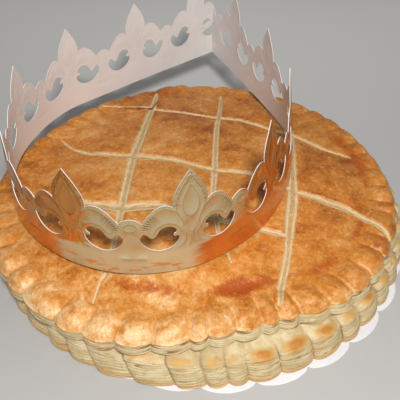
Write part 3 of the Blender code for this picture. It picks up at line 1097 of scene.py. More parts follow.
    def build(self) -> Any:
        """Make the crust's mesh.

        Returns:
            The object.
        """
        f = self.form
        skin = SkinMesh("glazed_crust")
        for low, high, count, rings in self.rings:
            angle = np.arange(count) * TAU / count
            edge = f.lid_edge(angle)
            soft = f.lid_outline(angle) - 0.0015
            for share in np.linspace(low, high, rings):
                blend = np.clip((share - 0.55) / 0.45, 0.0, 1.0)
                radius = share * (soft + (edge - soft) * blend)
                ring = polar(radius, angle)
                ring[:, 2] = self.height(ring[:, 0], ring[:, 1])
                skin.ring(ring)
        angle = np.arange(self.columns) * TAU / self.columns
        spot = polar(LID_REACH, angle)
        edge = f.lid_edge(angle) + 0.0003 * clouds(spot, 0.0035, 2, 44)
        rim = self.lip(angle)
        for turn in (0.15, 0.35, 0.6, 0.85, 1.0):
            radius = edge + 0.0007 * math.sin(turn * math.pi) - 0.0004 * (turn > 0.9)
            tall = rim - self.lip_thick * turn * (1.0 + 0.35 * clouds(spot, 0.005, 2, 45))
            skin.ring(polar(radius, angle, tall))
        skin.ring(polar(edge - 0.006, angle, rim - self.lip_thick + 0.0003))
        skin.cap((0.0, 0.0, self.height(np.zeros(1), np.zeros(1))[0]), True)
        skin.cap((0.0, 0.0, float(rim.min()) - self.lip_thick), False)
        return skin.build(self.traits)


@dataclass(frozen=True)
class LeafLook:
    """How the leaves of one tier lie."""

    seed: int
    thick: float
    gaps: float
    growth: float


class Tier(Enum):
    """Which of the two layered sides."""

    LOWER = LeafLook(40, 0.0035, 0.35, 0.7)
    UPPER = LeafLook(80, 0.0023, 0.65, 1.3)


@dataclass
class LayeredSide:
    """Flaky side of one tier, with its leaves standing proud by turns."""

    form: PastryForm
    tier: Tier
    lip: Callable[[Array], Array]
    columns: int = 888
    upper_middle: float = 0.0282
    leaf_relief: float = 0.00060
    gap_depth: float = 0.00045
    leaf_puff: float = 0.00030
    shoulder: float = 0.0152
    shoulder_rise: float = 0.0038
    shoulder_reach: float = 0.0054
    ledge: float = 0.0190
    slope: float = 0.0022
    foot_line: float = 0.0047
    press_depth: float = 0.0030
    ledge_insets: tuple = (0.0086, 0.0095, 0.0105, 0.0117, 0.0130, 0.0145, 0.0165, 0.0185, 0.0210)
    tones: dict[str, list[Array]] = field(default_factory=dict)

    def tone(self, **rows: Array) -> None:
        """Keep one ring's numbers, each under its name."""
        for name, row in rows.items():
            self.tones.setdefault(name, []).append(row)

    def lower_rows(self) -> list[tuple[float, float]]:
        """Rows of the lower tier: side, rounded shoulder and ledge.

        Returns:
            Inset and height of each row, foot to top.
        """
        rows = []
        for tall in np.linspace(self.form.base_bottom, self.shoulder, 58):
            foot = 0.0005 * (tall > 0.0050)
            rows.append((foot + self.slope * float(ramp(tall, 0.004, 0.0175)), float(tall)))
        for turn in np.linspace(0.08, 1.0, 14):
            bend = turn * math.pi / 2.0
            inset = 0.0024 + self.shoulder_reach * (1.0 - math.cos(bend))
            rows.append((inset, self.shoulder + self.shoulder_rise * math.sin(bend)))
        for inset in self.ledge_insets:
            rows.append((inset, self.ledge + 0.0005 * min(1.0, (inset - 0.0078) / 0.004)))
        return rows

    def leaves(self, angle: Array, level: Array, top: Array) -> tuple[Array, Array, Array, Array]:
        """Relief of the leaves along one row.

        Args:
            angle: Angles round the tier.
            level: Height in metres.
            top: 0 in notches and 1 on crests.

        Returns:
            Outward relief in metres, the leaf's tone, the gap's painted shade and
            the place counted in leaves.
        """
        look = self.tier.value
        seed, thick = look.seed, look.thick
        spot = polar(BASE_REACH, angle, level * 1.2)
        waves = np.sin(level * 1500.0 + 3.0 * clouds(spot, 0.040, 2, seed + 21))
        place = level / thick + 0.35 * waves
        place = place + 1.2 * clouds(spot, 0.026, 3, seed) + 0.30 * clouds(spot, 0.007, 2, seed + 3)
        index = np.floor(place)
        part = place - index
        key = polar(11.0, angle, index * 3.7 + 0.5)
        own = lattice(key, seed + 5)
        away = np.minimum(part, 1.0 - part) * thick
        open_share = np.clip(look.gaps + 1.1 * lattice(key * 1.5 + 5.0, seed + 13), 0.0, 1.0)
        # Painted shade of the gap, also cut into the relief below.
        gap = bell(away, 0.00040) * open_share * 1.2
        proud = self.leaf_relief * own * (0.4 + 0.6 * top)
        relief = look.growth * (proud - self.gap_depth * gap)
        relief += self.leaf_puff * np.sin(math.pi * part)
        relief += self.leaf_puff * clouds(spot, 0.008, 2, seed + 9)
        return relief, own, gap, place

    def build(self) -> Any:
        """Make the side's mesh.

        Returns:
            The object.
        """
        return self.build_lower() if self.tier is Tier.LOWER else self.build_upper()

    def close(self, skin: SkinMesh, first: float, last: float) -> Any:
        """Cap both ends and make the object.

        Args:
            skin: The rings.
            first: Height of the lower cap.
            last: Height of the upper cap.

        Returns:
            The object.
        """
        skin.cap((0.0, 0.0, first), True)
        skin.cap((0.0, 0.0, last), False)

        def traits(_: Array) -> dict[str, Array]:
            """Join the rows' numbers and those of the two centre points."""
            return {k: np.concatenate([*v, [0.0, 0.0]]) for k, v in self.tones.items()}

        return skin.build(traits)

    def build_upper(self) -> Any:
        """Side of the upper tier: leaves between the seam and the crust's lip.

        Returns:
            The object.
        """
        f = self.form
        skin = SkinMesh("upper_layers")
        angle = np.arange(self.columns) * TAU / self.columns
        top = crest(turns(angle, f.lid_table), 0.8)
        edge = f.lid_edge(angle)
        lip = self.lip(angle)
        flare = f.lid_flare * (1.0 - f.side_share(angle))
        low = f.base_top + 0.0003
        for share in np.linspace(0.0, 1.0, 38):
            level = np.full_like(angle, low + (self.upper_middle - low) * share)
            relief, own, gap, place = self.leaves(angle, level, top)
            out = flare * (1.0 - share) ** 0.8 + 0.0003 * share
            tuck = 0.0011 * ramp(share, 0.10, 0.0)
            radius = edge + out + relief * (1.0 - 0.5 * share) - tuck
            skin.ring(polar(radius, angle, low + (lip - low) * share))
            # Painted shade along the seam under the upper tier's overhang, with a little tan.
            seam = np.full_like(angle, ramp(share, 0.22, 0.04))
            self.tone(leaf=0.5 + 0.5 * own, gap=np.maximum(gap, seam), wash=0.0 * angle,
                      foot=0.25 * seam, layer=place)
        return self.close(skin, low, float(lip.min()))

    def build_lower(self) -> Any:
        """Side of the lower tier with its foot, shoulder and ledge.

        Returns:
            The object.
        """
        f = self.form
        skin = SkinMesh("lower_layers")
        angle = np.arange(self.columns) * TAU / self.columns
        place = turns(angle, f.base_table)
        index = np.floor(place)
        part = place - index
        leaning = part ** (0.88 - 0.42 * around(angle, -107.0, 19.0))
        soft, sharp = crest(leaning, 0.8), crest(leaning)
        edge = f.base_edge(angle) + f.base_notch * (sharp - crest(place))
        washed = 0.45 + 0.55 * around(angle, -62.0, 22.0) + 0.25 * around(angle, -90.0, 10.0)
        washed *= 0.8 + 0.45 * lattice(plan(index * 1.7, place * 0.0), 21)
        widths = np.diff(f.base_table)[index.astype(int) % f.base_scallops] * BASE_REACH
        notch_gap = np.minimum(part, 1.0 - part) * widths
        rows = self.lower_rows()
        for inset, tall in rows:
            turned = angle - f.base_slant(angle) * min(1.0, (tall - f.base_bottom) / 0.0175)
            spot = polar(BASE_REACH, turned)
            level = tall + 0.0006 * (1.0 - soft) + 0.0004 * clouds(spot, 0.012, 2, 51)
            relief, own, gap, count = self.leaves(turned, level, soft)
            ledge = ramp(inset, 0.0045, 0.0090)
            foot_line = self.foot_line + 0.0011 * clouds(spot, 0.015, 3, 91)
            foot_gap = bell(tall - foot_line, 0.00032) * (1.0 - ledge)
            radius = edge - inset + relief * (1.0 - 0.8 * ledge) - 0.0004 * foot_gap
            fade = 1.0 - ramp(inset, 0.009, 0.0165)
            sink = self.press_depth * (1.0 - sharp) * ramp(tall, 0.010, 0.0185)
            rough = 0.00035 * ledge * clouds(polar(radius, turned), 0.006, 3, 61)
            height = np.minimum(tall + (rough - sink) * fade, f.base_top)
            skin.ring(polar(radius, turned, height))
            # Painted shade in the notch creases and along the foot line, with the leaf gaps.
            creased = 0.85 + 0.6 * clouds(spot + tall, 0.008, 2, 95)
            crease = bell(notch_gap, 0.0006) * creased * (1.0 - 0.5 * ledge)
            gaps = (gap * (0.75 - 0.40 * ledge), 0.75 * foot_gap, np.clip(crease, 0.0, 0.9))
            zone = bell(inset - 0.0056 + 0.0012 * clouds(spot, 0.008, 2, 71), 0.0033)
            wash = 1.25 * zone * (tall > 0.0145) * bell(leaning - 0.56, 0.34) * washed
            foot = ramp(tall - foot_line, 0.0005, -0.0006) + 0.6 * bell(tall - 0.0009, 0.0006)
            self.tone(leaf=0.5 + 0.5 * own, gap=np.maximum.reduce(gaps), wash=wash, foot=foot,
                      layer=count)
        return self.close(skin, rows[0][1], rows[-1][1])


# --------------------------------------------------------------------- crown


def arc(cx: float, cy: float, radius: float, start: float, end: float, steps: int) -> list:
    """Points along a round arc.

    Args:
        cx: Centre.
        cy: Centre.
        radius: Radius.
        start: First angle in degrees.
        end: Last angle in degrees.
        steps: Number of straight pieces.

    Returns:
        The points.
    """
    sweep = np.radians(np.linspace(start, end, steps + 1))
    return [(cx + radius * math.cos(a), cy + radius * math.sin(a)) for a in sweep]


# Points of a unit's top edge: on half a bead, and on its lobe or petal.
BEAD_STEPS = 6
CURVE_STEPS = 16


@dataclass
class Fleuron:
    """One flat unit of the crown, sizes in metres, middle at zero.

    Half beads end it at both sides, lobes rise from them to the petal, and a
    comma-shaped hole lies under each lobe. The dots cross the petal's foot.
    """

    half: float
    height: float = 0.0683
    bead_top: float = 0.0406
    bead_half: float = 0.0062
    bead_join: float = 0.0372
    lobe_top: float = 0.0482
    lobe_join: float = 0.0462
    lobe_crown: float = 0.72
    petal: float = 0.0098
    card: float = 0.00045
    ridge: float = 0.00018
    ridge_half: float = 0.00028
    fold: float = -0.0203
    dots: tuple = (0.0, 0.0022, 0.0044, 0.0064)
    dot_height: float = 0.0296
    dot_radius: float = 0.0008
    hoop: tuple[float, float] = (0.0125, 0.0285)
    band_rows: tuple = (0.004, 0.008, 0.012, 0.016)

    def left_edge(self) -> list:
        """Top edge from the bead's middle to the petal's tip.

        Returns:
            Flat points: the bead's, the lobe's and the petal's.
        """
        points = []
        for share in np.linspace(0.0, 0.9, BEAD_STEPS):
            rise = (self.bead_top - self.bead_join) * math.cos(math.pi * 0.5 * share) ** 0.8
            points.append((-self.half + self.bead_half * share, self.bead_join + rise))
        foot = -self.half + self.bead_half
        span = -self.petal - foot
        for share in np.linspace(0.0, 0.94, CURVE_STEPS):
            climb = math.sin(math.pi * 0.5 * min(1.0, share / self.lobe_crown)) ** 0.9
            sag = max(0.0, share - self.lobe_crown) / (1.0 - self.lobe_crown)
            tall = self.bead_join + (self.lobe_top - self.bead_join) * climb
            tall -= (self.lobe_top - self.lobe_join) * sag**2
            points.append((foot + span * share, tall))
        for share in np.linspace(0.0, 1.0, CURVE_STEPS):
            swell = self.petal * (1.0 - share**1.75) * (1.0 + 0.10 * math.sin(math.pi * share))
            points.append((-swell, self.lobe_join + (self.height - self.lobe_join) * share))
        return points

    def hole(self) -> list:
        """Comma-shaped hole under the left lobe.

        Returns:
            Its outline.
        """
        bowl = arc(-0.0173, 0.0284, 0.0112, 188.0, 334.0, 16)
        nub = [(-0.0066, 0.0262), (-0.0080, 0.0268), (-0.0094, 0.0264), (-0.0101, 0.0272),
               (-0.0099, 0.0284), (-0.0088, 0.0288), (-0.0083, 0.0296)]
        head = arc(-0.0131, 0.0285, 0.0054, 20.0, 152.0, 10)
        tail = [(-0.0188, 0.0292), (-0.0199, 0.0276), (-0.0210, 0.0266), (-0.0222, 0.0268),
                (-0.0234, 0.0279), (-0.0246, 0.0294), (-0.0260, 0.0303)]
        return bowl + nub + head + tail

    def reliefs(self) -> list[list]:
        """Pressed lines of the left half; the right half mirrors them.

        Returns:
            Each line's flat points.
        """
        edge = self.left_edge()
        petal = [(u * 0.80, self.lobe_join + (v - self.lobe_join) * 0.90 - 0.0012)
                 for u, v in edge[-CURVE_STEPS:]]
        petal[-1] = (0.0, petal[-1][1])
        leaf = []
        for share in np.linspace(0.0, 1.0, 12):
            leaf.append((-0.0047 * math.sin(math.pi * share**0.8) ** 0.9, 0.0375 + 0.0215 * share))
        lobe = [(u + 0.0012 * (1.0 - i / (CURVE_STEPS - 1)), v - 0.0022)
                for i, (u, v) in enumerate(edge[BEAD_STEPS:-CURVE_STEPS])]
        lobe += [(-0.0075, 0.0425), (-0.0052, 0.0375), (-0.0042, 0.0330)]
        over = arc(-0.0131, 0.0285, 0.0074, 8.0, 150.0, 12)
        over += [(-0.0212, 0.0296), (-0.0228, 0.0310)]
        stalk = [(-0.0030, 0.0270), (-0.0036, 0.0225), (-0.0058, 0.0190), (-0.0080, 0.0180)]
        foot = [(-0.0004, 0.0270), (-0.0006, 0.0215), (-0.0016, 0.0185)]
        bar = [(-self.half + 0.00001, 0.0118), (-self.half + 0.0055, 0.0118)]
        oval = [(-self.half + 0.0034 * math.cos(a), 0.0345 + 0.0027 * math.sin(a))
                for a in np.linspace(-math.pi / 2, math.pi / 2, 10)]
        return [petal, leaf, lobe, over, stalk, foot, bar, oval]

    def ridges(self) -> list[Array]:
        """All pressed lines of the unit, each followed by its mirror image."""
        lines = [np.array(line) for line in self.reliefs()]
        return [side for line in lines for side in (line, line * (-1.0, 1.0))]

    def depth(self, spots: Array) -> Array:
        """Relief of the pressed lines at flat points.

        Args:
            spots: Flat positions.

        Returns:
            Relief in metres.
        """
        u, v = spots.T
        near = np.full(len(spots), FAR)
        for line in self.ridges():
            for start, end in zip(line, line[1:]):
                near = np.minimum(near, to_line(u, v, start, end)[1])
        relief = np.clip(1.0 - near / self.ridge_half, 0.0, 1.0)
        for dot in self.dots:
            away = np.hypot(np.abs(u) - dot, v - self.dot_height)
            relief = np.maximum(relief, np.clip(1.0 - away / self.dot_radius, 0.0, 1.0))
        return self.ridge * relief

    @staticmethod
    def inside(spots: Array, loop: list) -> Array:
        """Tell which flat points lie in a closed loop.

        Args:
            spots: Flat positions.
            loop: The loop's corners.

        Returns:
            Whether each point lies inside.
        """
        hit = np.zeros(len(spots), bool)
        for (x1, y1), (x2, y2) in zip(loop, loop[1:] + loop[:1]):
            if y1 == y2:
                continue
            over = (y1 > spots[:, 1]) != (y2 > spots[:, 1])
            cross = x1 + (spots[:, 1] - y1) * (x2 - x1) / (y2 - y1)
            hit ^= over & (spots[:, 0] < cross)
        return hit

    def flat_net(self) -> tuple[Array, Array]:
        """Triangulate the flat unit with its pressed lines.

        Returns:
            The points that are used, and the triangles.
        """
        left = self.left_edge()
        right = [(-u, v) for u, v in reversed(left[:-1])]
        side = np.linspace(0.003, 0.036, 12).tolist()
        steps = np.linspace(self.half, -self.half, 33)
        rim = left + right + [(self.half, v) for v in reversed(side)]
        rim += [(u, 0.0) for u in steps] + [(-self.half, v) for v in side]
        holes = [self.hole(), [(-u, v) for u, v in reversed(self.hole())]]
        points: list[Vector] = []
        edges: list[tuple[int, int]] = []
        for loop in (rim, *holes):
            start, count = len(points), len(loop)
            points += [Vector(p) for p in loop]
            edges += [(start + i, start + (i + 1) % count) for i in range(count)]
        for line in self.ridges():
            run = np.gradient(line, axis=0)
            run /= np.maximum(np.hypot(*run.T), 1e-12)[:, None]
            across = np.stack([-run[:, 1], run[:, 0]], 1)
            for shift in (-self.ridge_half, 0.0, self.ridge_half):
                start = len(points)
                points += [Vector(p) for p in line + across * shift]
                edges += [(start + i, start + i + 1) for i in range(len(line) - 1)]
        points += [Vector((self.fold, -0.001)), Vector((self.fold, self.height))]
        edges.append((len(points) - 2, len(points) - 1))
        for v in self.band_rows:
            points += [Vector((u, v)) for u in np.linspace(-self.half, self.half, 25)[1:-1]]
        flat, _, tris, _, _, _ = delaunay_2d_cdt(points, edges, [], 0, 2e-6)
        spots = np.array([tuple(p) for p in flat])
        tris = np.array([tuple(t) for t in tris])
        middle = spots[tris].mean(axis=1)
        keep = self.inside(middle, rim)
        for hole in holes:
            keep &= ~self.inside(middle, hole)
        used, tris = np.unique(tris[keep], return_inverse=True)
        return spots[used], tris.reshape(-1, 3)

    def build(self) -> Any:
        """Make the flat unit: foil face out (+Y), card face in, cut edges.

        Returns:
            The object, with the side kept on its faces.
        """
        spots, tris = self.flat_net()
        relief = self.depth(spots)
        count = len(spots)
        front = plan(spots[:, 0], self.card / 2 + relief, spots[:, 1])
        back = plan(spots[:, 0], -self.card / 2 + 0.2 * relief, spots[:, 1])
        faces = [*tris.tolist(), *(tris[:, ::-1] + count).tolist()]
        at_seam = np.abs(np.abs(spots[:, 0]) - self.half) < 1e-6
        seen: dict[tuple[int, int], list] = {}
        for a, b, c in tris.tolist():
            for p, q in ((a, b), (b, c), (c, a)):
                seen.setdefault((min(p, q), max(p, q)), []).append((p, q))
        for (p, q), *others in seen.values():
            if not others and not (at_seam[p] and at_seam[q]):
                faces.append([q, p, p + count, q + count])
        body = add_mesh("fleuron", np.concatenate([front, back]).tolist(), faces)
        keep_values(body.data, "card_side", np.arange(len(faces)) >= len(tris), "FACE")
        for name, values in self.patterns(spots).items():
            keep_values(body.data, name, np.concatenate([values, values]))
        return body

    def patterns(self, spots: Array) -> dict[str, Array]:
        """Where the foil is stippled or hatched.

        Args:
            spots: Flat positions.

        Returns:
            Named values per point.
        """
        u, v = np.abs(spots[:, 0]), spots[:, 1]
        in_petal = ramp(v, 0.0455, 0.0475)
        leaf = (u / 0.0050) ** 2 + ((v - 0.049) / 0.011) ** 2
        stipple = in_petal * ramp(leaf, 0.9, 1.2)
        over, up = u - self.hoop[0], v - self.hoop[1]
        turn, span = np.arctan2(up, over), np.hypot(up, over)
        hatched = ramp(span, 0.0085, 0.0095) * (1.0 - ramp(span, 0.0155, 0.0165))
        hatched *= (v > 0.034) & (u > 0.008)
        press = self.depth(spots) / self.ridge
        return {"stipple": stipple, "hatch": turn * 9.0, "hatched": hatched, "press": press}


class GeoTree:
    """Builds one Geometry Nodes tree with named inputs."""

    def __init__(self, name: str) -> None:
        """Start the tree with geometry going in and out.

        Args:
            name: Its name.
        """
        self.tree = bpy.data.node_groups.new(name, "GeometryNodeTree")
        self.tree.interface.new_socket("Geometry", in_out="INPUT", socket_type="NodeSocketGeometry")
        self.tree.interface.new_socket("Geometry", in_out="OUTPUT", socket_type="NodeSocketGeometry")
        self.entry = self.tree.nodes.new("NodeGroupInput")
        self.exit = self.tree.nodes.new("NodeGroupOutput")
        self.idents: dict[str, str] = {}

    def entry_socket(self, name: str, kind: str) -> Any:
        """Add a named input.

        Args:
            name: Its name.
            kind: Its socket type.

        Returns:
            The socket inside the tree.
        """
        made = self.tree.interface.new_socket(name, in_out="INPUT", socket_type=kind)
        self.idents[name] = made.identifier
        return self.entry.outputs[name]

    def node(self, kind: str, settings: Optional[dict] = None, sockets: Optional[dict] = None) -> Any:
        """Add one node.

        Args:
            kind: Its type.
            settings: Attributes that are set first.
            sockets: Values or links by input name or number.

        Returns:
            The node.
        """
        node = self.tree.nodes.new(kind)
        for key, value in (settings or {}).items():
            setattr(node, key, value)
        for key, value in (sockets or {}).items():
            if isinstance(value, bpy.types.NodeSocket):
                self.tree.links.new(value, node.inputs[key])
            else:
                node.inputs[key].default_value = value
        return node

    def math(self, op: str, a: Any, b: Any = None) -> Any:
        """Result of one Math node on one or two operands."""
        sockets = {0: a} if b is None else {0: a, 1: b}
        return self.node("ShaderNodeMath", {"operation": op}, sockets).outputs[0]

    def vector(self, op: str, a: Any, b: Any = None) -> Any:
        """Result of one Vector Math node; a SCALE takes its factor second."""
        sockets = {0: a} if b is None else {0: a, "Scale" if op == "SCALE" else 1: b}
        return self.node("ShaderNodeVectorMath", {"operation": op}, sockets).outputs[0]

    def apply(self, body: Any, values: dict[str, Any], name: str) -> Any:
        """Run the tree on an object and keep the result as a plain mesh.

        Args:
            body: The object that the tree starts from.
            values: Named inputs.
            name: Name of the new object.

        Returns:
            The new object; the old one is removed.
        """
        modifier = body.modifiers.new(name, "NODES")
        modifier.node_group = self.tree
        for key, value in values.items():
            modifier[self.idents[key]] = value
        graph = bpy.context.evaluated_depsgraph_get()
        mesh = bpy.data.meshes.new_from_object(body.evaluated_get(graph), depsgraph=graph)
        mesh.name = name
        bpy.data.objects.remove(body, do_unlink=True)
        return add_object(name, mesh)


@dataclass
class PaperCrown:
    """Foil crown: a strip of fleurons stood on edge along a plan curve."""

    units: int = 11
    stand: float = 0.0381
    first: float = 0.0203
    lean: float = 0.0088
    path_steps: int = 24
    tab_along: int = 30
    tab_outline: tuple = ((0.0005, 0.0262), (0.0175, 0.0205), (0.0190, 0.0255), (0.0005, 0.0318))
    route: tuple = (
        (0.0113, 0.1822), (-0.0350, 0.1430), (-0.0750, 0.1075), (-0.1035, 0.0805),
        (-0.1190, 0.0515), (-0.1265, 0.0180), (-0.1235, -0.0130), (-0.1110, -0.0470),
        (-0.0860, -0.0735), (-0.0560, -0.0884), (-0.0250, -0.0907), (0.0060, -0.0810),
        (0.0365, -0.0555), (0.0560, -0.0200), (0.0655, 0.0200), (0.0645, 0.0480),
        (0.0552, 0.0770), (0.0417, 0.1115), (0.0266, 0.1482),
    )

    def path(self) -> Array:
        """Dense points of the plan curve, corner first and last.

        Returns:
            One row of plan positions per point.
        """
        p = np.array(self.route)
        dense = []
        count = len(p)
        for i in range(count):
            p1, p2 = p[i], p[(i + 1) % count]
            before = p[i - 1] if i > 0 else 2.0 * p1 - p2
            after = p[(i + 2) % count] if i < count - 1 else 2.0 * p2 - p1
            for t in np.arange(self.path_steps) / self.path_steps:
                curve = 2.0 * p1 + (p2 - before) * t
                curve = curve + (2.0 * before - 5.0 * p1 + 4.0 * p2 - after) * t**2
                curve = curve + (3.0 * p1 - before - 3.0 * p2 + after) * t**3
                dense.append(0.5 * curve)
        dense.append(p[0])
        return np.array(dense)

    def length(self) -> float:
        """Length of the strip."""
        return float(np.hypot(*np.diff(self.path(), axis=0).T).sum())

    def path_object(self) -> Any:
        """Make the plan curve as an object.

        Returns:
            The object.
        """
        dense = self.path()
        curve = bpy.data.curves.new("crown_path", "CURVE")
        curve.dimensions = "3D"
        line = curve.splines.new("POLY")
        line.points.add(len(dense) - 1)
        for point, (x, y) in zip(line.points, dense):
            point.co = (x, y, 0.0, 1.0)
        return add_object("crown_path", curve)

    def bend_tree(self) -> GeoTree:
        """Tree that repeats the flat unit and bends the strip along the path.

        Returns:
            The tree.
        """
        g = GeoTree("crown_strip")
        kinds = {"Units": "Int", "Pitch": "Float", "First Middle": "Float",
                 "Strip Length": "Float", "Stand Height": "Float", "Lean Per Height": "Float",
                 "Plan Path": "Object", "Foil": "Material", "Card": "Material"}
        given = {name: g.entry_socket(name, f"NodeSocket{kind}") for name, kind in kinds.items()}
        start = g.node("ShaderNodeCombineXYZ", None, {0: given["First Middle"]}).outputs[0]
        offset = g.node("ShaderNodeCombineXYZ", None, {0: given["Pitch"]}).outputs[0]
        row = {"Count": given["Units"], "Start Location": start, "Offset": offset}
        line = g.node("GeometryNodeMeshLine", {"mode": "OFFSET"}, row)
        units = {"Points": line.outputs[0], "Instance": g.entry.outputs["Geometry"]}
        repeat = g.node("GeometryNodeInstanceOnPoints", None, units)
        real = g.node("GeometryNodeRealizeInstances", None, {0: repeat.outputs[0]})
        joined = {0: real.outputs[0], "Distance": 2e-6}
        weld = g.node("GeometryNodeMergeByDistance", None, joined)
        place = g.node("GeometryNodeInputPosition").outputs[0]
        flat_x, depth, tall = g.node("ShaderNodeSeparateXYZ", None, {0: place}).outputs
        along = g.math("FLOORED_MODULO", flat_x, given["Strip Length"])
        settings = {"transform_space": "ORIGINAL"}
        route = g.node("GeometryNodeObjectInfo", settings, {0: given["Plan Path"]})
        stretch = {"Curves": route.outputs["Geometry"], "Length": along}
        sample = g.node("GeometryNodeSampleCurve", {"mode": "LENGTH"}, stretch).outputs
        out = g.vector("CROSS_PRODUCT", sample["Tangent"], (0.0, 0.0, 1.0))
        phase = g.math("MULTIPLY", g.math("DIVIDE", along, given["Strip Length"]), 2.0 * TAU)
        at_sides = g.math("SUBTRACT", 1.0, g.math("COSINE", phase))
        tilt = g.math("MULTIPLY", at_sides, given["Lean Per Height"])
        push = g.math("SUBTRACT", depth, g.math("MULTIPLY", tilt, tall))
        moved = g.vector("SCALE", g.vector("NORMALIZE", out), push)
        rise = g.math("ADD", tall, given["Stand Height"])
        lift = g.node("ShaderNodeCombineXYZ", None, {2: rise}).outputs[0]
        spot = g.vector("ADD", g.vector("ADD", sample["Position"], moved), lift)
        bent = g.node("GeometryNodeSetPosition", None, {0: weld.outputs[0], "Position": spot})
        side = g.node("GeometryNodeInputNamedAttribute", {"data_type": "FLOAT"}, {0: "card_side"})
        compare = {0: side.outputs[0], 1: 0.5}
        white = g.node("FunctionNodeCompare", {"operation": "GREATER_THAN"}, compare).outputs[0]
        faced = {0: bent.outputs[0], "Material": given["Foil"]}
        gold = g.node("GeometryNodeSetMaterial", None, faced)
        backed = {0: gold.outputs[0], "Selection": white, "Material": given["Card"]}
        both = g.node("GeometryNodeSetMaterial", None, backed)
        g.tree.links.new(both.outputs[0], g.exit.inputs[0])
        return g

    def build(self, foil: Any, card: Any) -> list[Any]:
        """Make the crown and the tab that closes it.

        Args:
            foil: Material of the outer face.
            card: Material of the inner face and cut edges.

        Returns:
            The crown and its tab.
        """
        total = self.length()
        pitch = total / self.units
        unit = Fleuron(pitch / 2.0).build()
        route = self.path_object()
        values = {
            "Units": self.units,
            "Pitch": pitch,
            "First Middle": self.first,
            "Strip Length": total,
            "Stand Height": self.stand,
            "Lean Per Height": self.lean * 0.5 / Fleuron(0.0).height,
            "Plan Path": route,
            "Foil": foil,
            "Card": card,
        }
        crown = self.bend_tree().apply(unit, values, "paper_crown_strip")
        bpy.data.objects.remove(route, do_unlink=True)
        crown.data.shade_smooth()
        crown.data.set_sharp_from_angle(angle=math.radians(34.0))
        return [crown, self.tab(card)]

    def tab(self, card: Any) -> Any:
        """Short locking tab behind the hole at the corner.

        Args:
            card: Its material.

        Returns:
            The object.
        """
        dense = self.path()
        run = dense[self.tab_along] - dense[0]
        run = run / np.linalg.norm(run)
        out = np.array([run[1], -run[0]])
        corners = []
        for depth in (0.0004, 0.0008):
            for u, v in self.tab_outline:
                corners.append((*(dense[0] + run * u + out * depth), self.stand + v))
        faces = [(0, 1, 2, 3), (7, 6, 5, 4), (0, 4, 5, 1), (1, 5, 6, 2), (2, 6, 7, 3), (3, 7, 4, 0)]
        body = add_mesh("crown_tab", corners, faces)
        body.data.materials.append(card)
        return outward(body)


@dataclass
class PaperRound:
    """Thin scalloped paper round under the pastry."""

    radius: float = 0.1325
    scallops: int = 26
    first: float = math.radians(-51.5)
    depth: float = 0.0046
    thick: float = 0.0006
    centre: tuple[float, float] = (0.0064, -0.0102)
    steps: int = 16

    def build(self, card: Any) -> Any:
        """Make the round.

        Args:
            card: Its material.

        Returns:
            The object.
        """
        count = self.scallops * self.steps
        angle = self.first + np.arange(count) * TAU / count
        edge = self.radius - self.depth * (1.0 - crest(np.arange(count) / self.steps))
        skin = SkinMesh("scalloped_round")
        rows = ((0.0006, 0.0), (0.0001, 0.00008), (0.0, 0.0003), (0.0001, self.thick - 0.00008),
                (0.0006, self.thick), (0.004, self.thick - 0.00004), (0.007, self.thick))
        for inset, tall in rows:
            skin.ring(polar(edge - inset, angle, tall) + (*self.centre, 0.0))
        skin.cap((*self.centre, 0.0), True)
        skin.cap((*self.centre, self.thick), False)
        body = skin.build(lambda points: {})
        body.data.materials.append(card)
        return body


# -------------------------------------------------------------------- studio


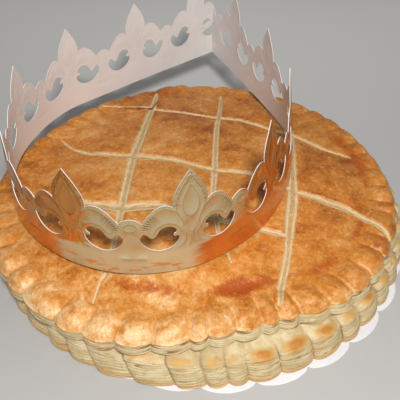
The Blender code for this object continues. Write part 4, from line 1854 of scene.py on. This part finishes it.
@dataclass
class Studio:
    """Floor, soft light and camera."""

    lens: float = 49.5
    sensor: float = 36.0
    elevation: float = 41.0
    distance: float = 0.412
    aim: tuple[float, float] = (0.0, 0.015)
    world: float = 0.19
    floor_half: float = 3.0
    lamp_aim: tuple[float, float, float] = (0.0, 0.0, 0.03)

    def floor(self) -> None:
        """Make the floor."""
        half = self.floor_half
        corners = [(-half, -half, 0.0), (half, -half, 0.0), (half, half, 0.0), (-half, half, 0.0)]
        body = add_mesh("floor", corners, [(0, 1, 2, 3)])
        body.data.materials.append(FloorPaint().build())

    def light(self, name: str, place: Sequence[float], size: float, power: float, colour: Colour) -> None:
        """Add one soft lamp aimed at the pastry.

        Args:
            name: Its name.
            place: Where it hangs.
            size: Side of its square face.
            power: Watts.
            colour: Tint.
        """
        data = bpy.data.lights.new(name, "AREA")
        data.energy = power
        data.size = size
        data.color = colour
        body = add_object(name, data)
        body.location = place
        aim = Vector(self.lamp_aim) - Vector(place)
        body.rotation_euler = aim.to_track_quat("-Z", "Y").to_euler()

    def room(self) -> None:
        """Set up the soft light of the room."""
        world = bpy.data.worlds.new("soft_room")
        world.use_nodes = True
        shade = world.node_tree.nodes["Background"]
        shade.inputs["Color"].default_value = (0.95, 0.97, 1.0, 1.0)
        shade.inputs["Strength"].default_value = self.world
        bpy.context.scene.world = world

    def camera(self) -> None:
        """Set up the camera."""
        data = bpy.data.cameras.new("camera")
        data.lens = self.lens
        data.sensor_width = self.sensor
        data.clip_start = 0.01
        camera = add_object("camera", data)
        tilt = math.radians(self.elevation)
        back = self.distance * math.cos(tilt)
        camera.location = (self.aim[0], self.aim[1] - back, self.distance * math.sin(tilt))
        camera.rotation_euler = (math.radians(90.0) - tilt, 0.0, 0.0)
        bpy.context.scene.camera = camera
        bpy.context.scene.view_settings.view_transform = "Standard"

    def build(self) -> None:
        """Set up the floor, room, lamps and camera."""
        self.floor()
        self.room()
        self.light("key", (0.05, -0.40, 0.49), 0.09, 3.65, (1.0, 0.985, 0.96))
        self.light("fill", (0.2, 0.7, 1.0), 1.0, 0.8, (1.0, 0.99, 0.98))
        self.camera()


def settle(body: Any, node: str) -> None:
    """Put a piece on the cake in place of a plain node.

    Args:
        body: The piece.
        node: The node that it stands for.
    """
    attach(body, "root")
    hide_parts(node)
    LOG.info("%s: %d faces, stands for %s", body.name, len(body.data.polygons), node)


def main() -> None:
    """Build every piece in order."""
    logging.basicConfig(level=logging.INFO, format="%(name)s %(message)s")
    form = PastryForm()
    Studio().build()
    top = CrustTop(form)
    crust = top.build()
    crust.data.materials.append(GlazedCrust().build())
    settle(crust, "pastry_lid")
    layers = FlakyLayers().build()
    for tier, node in ((Tier.UPPER, "pastry_lid"), (Tier.LOWER, "pastry_base")):
        side = LayeredSide(form, tier, lambda angle: top.lip(angle) - 0.9 * top.lip_thick).build()
        side.data.materials.append(layers)
        settle(side, node)
    card = WhiteCard("crown_card", (0.81, 0.77, 0.755)).build()
    for piece in PaperCrown().build(GoldFoil().build(), card):
        settle(piece, "paper_crown")
    paper = PaperRound().build(WhiteCard("round_paper", (0.76, 0.755, 0.78)).build())
    settle(paper, "paper_round")


if __name__ == "__main__":
    main()
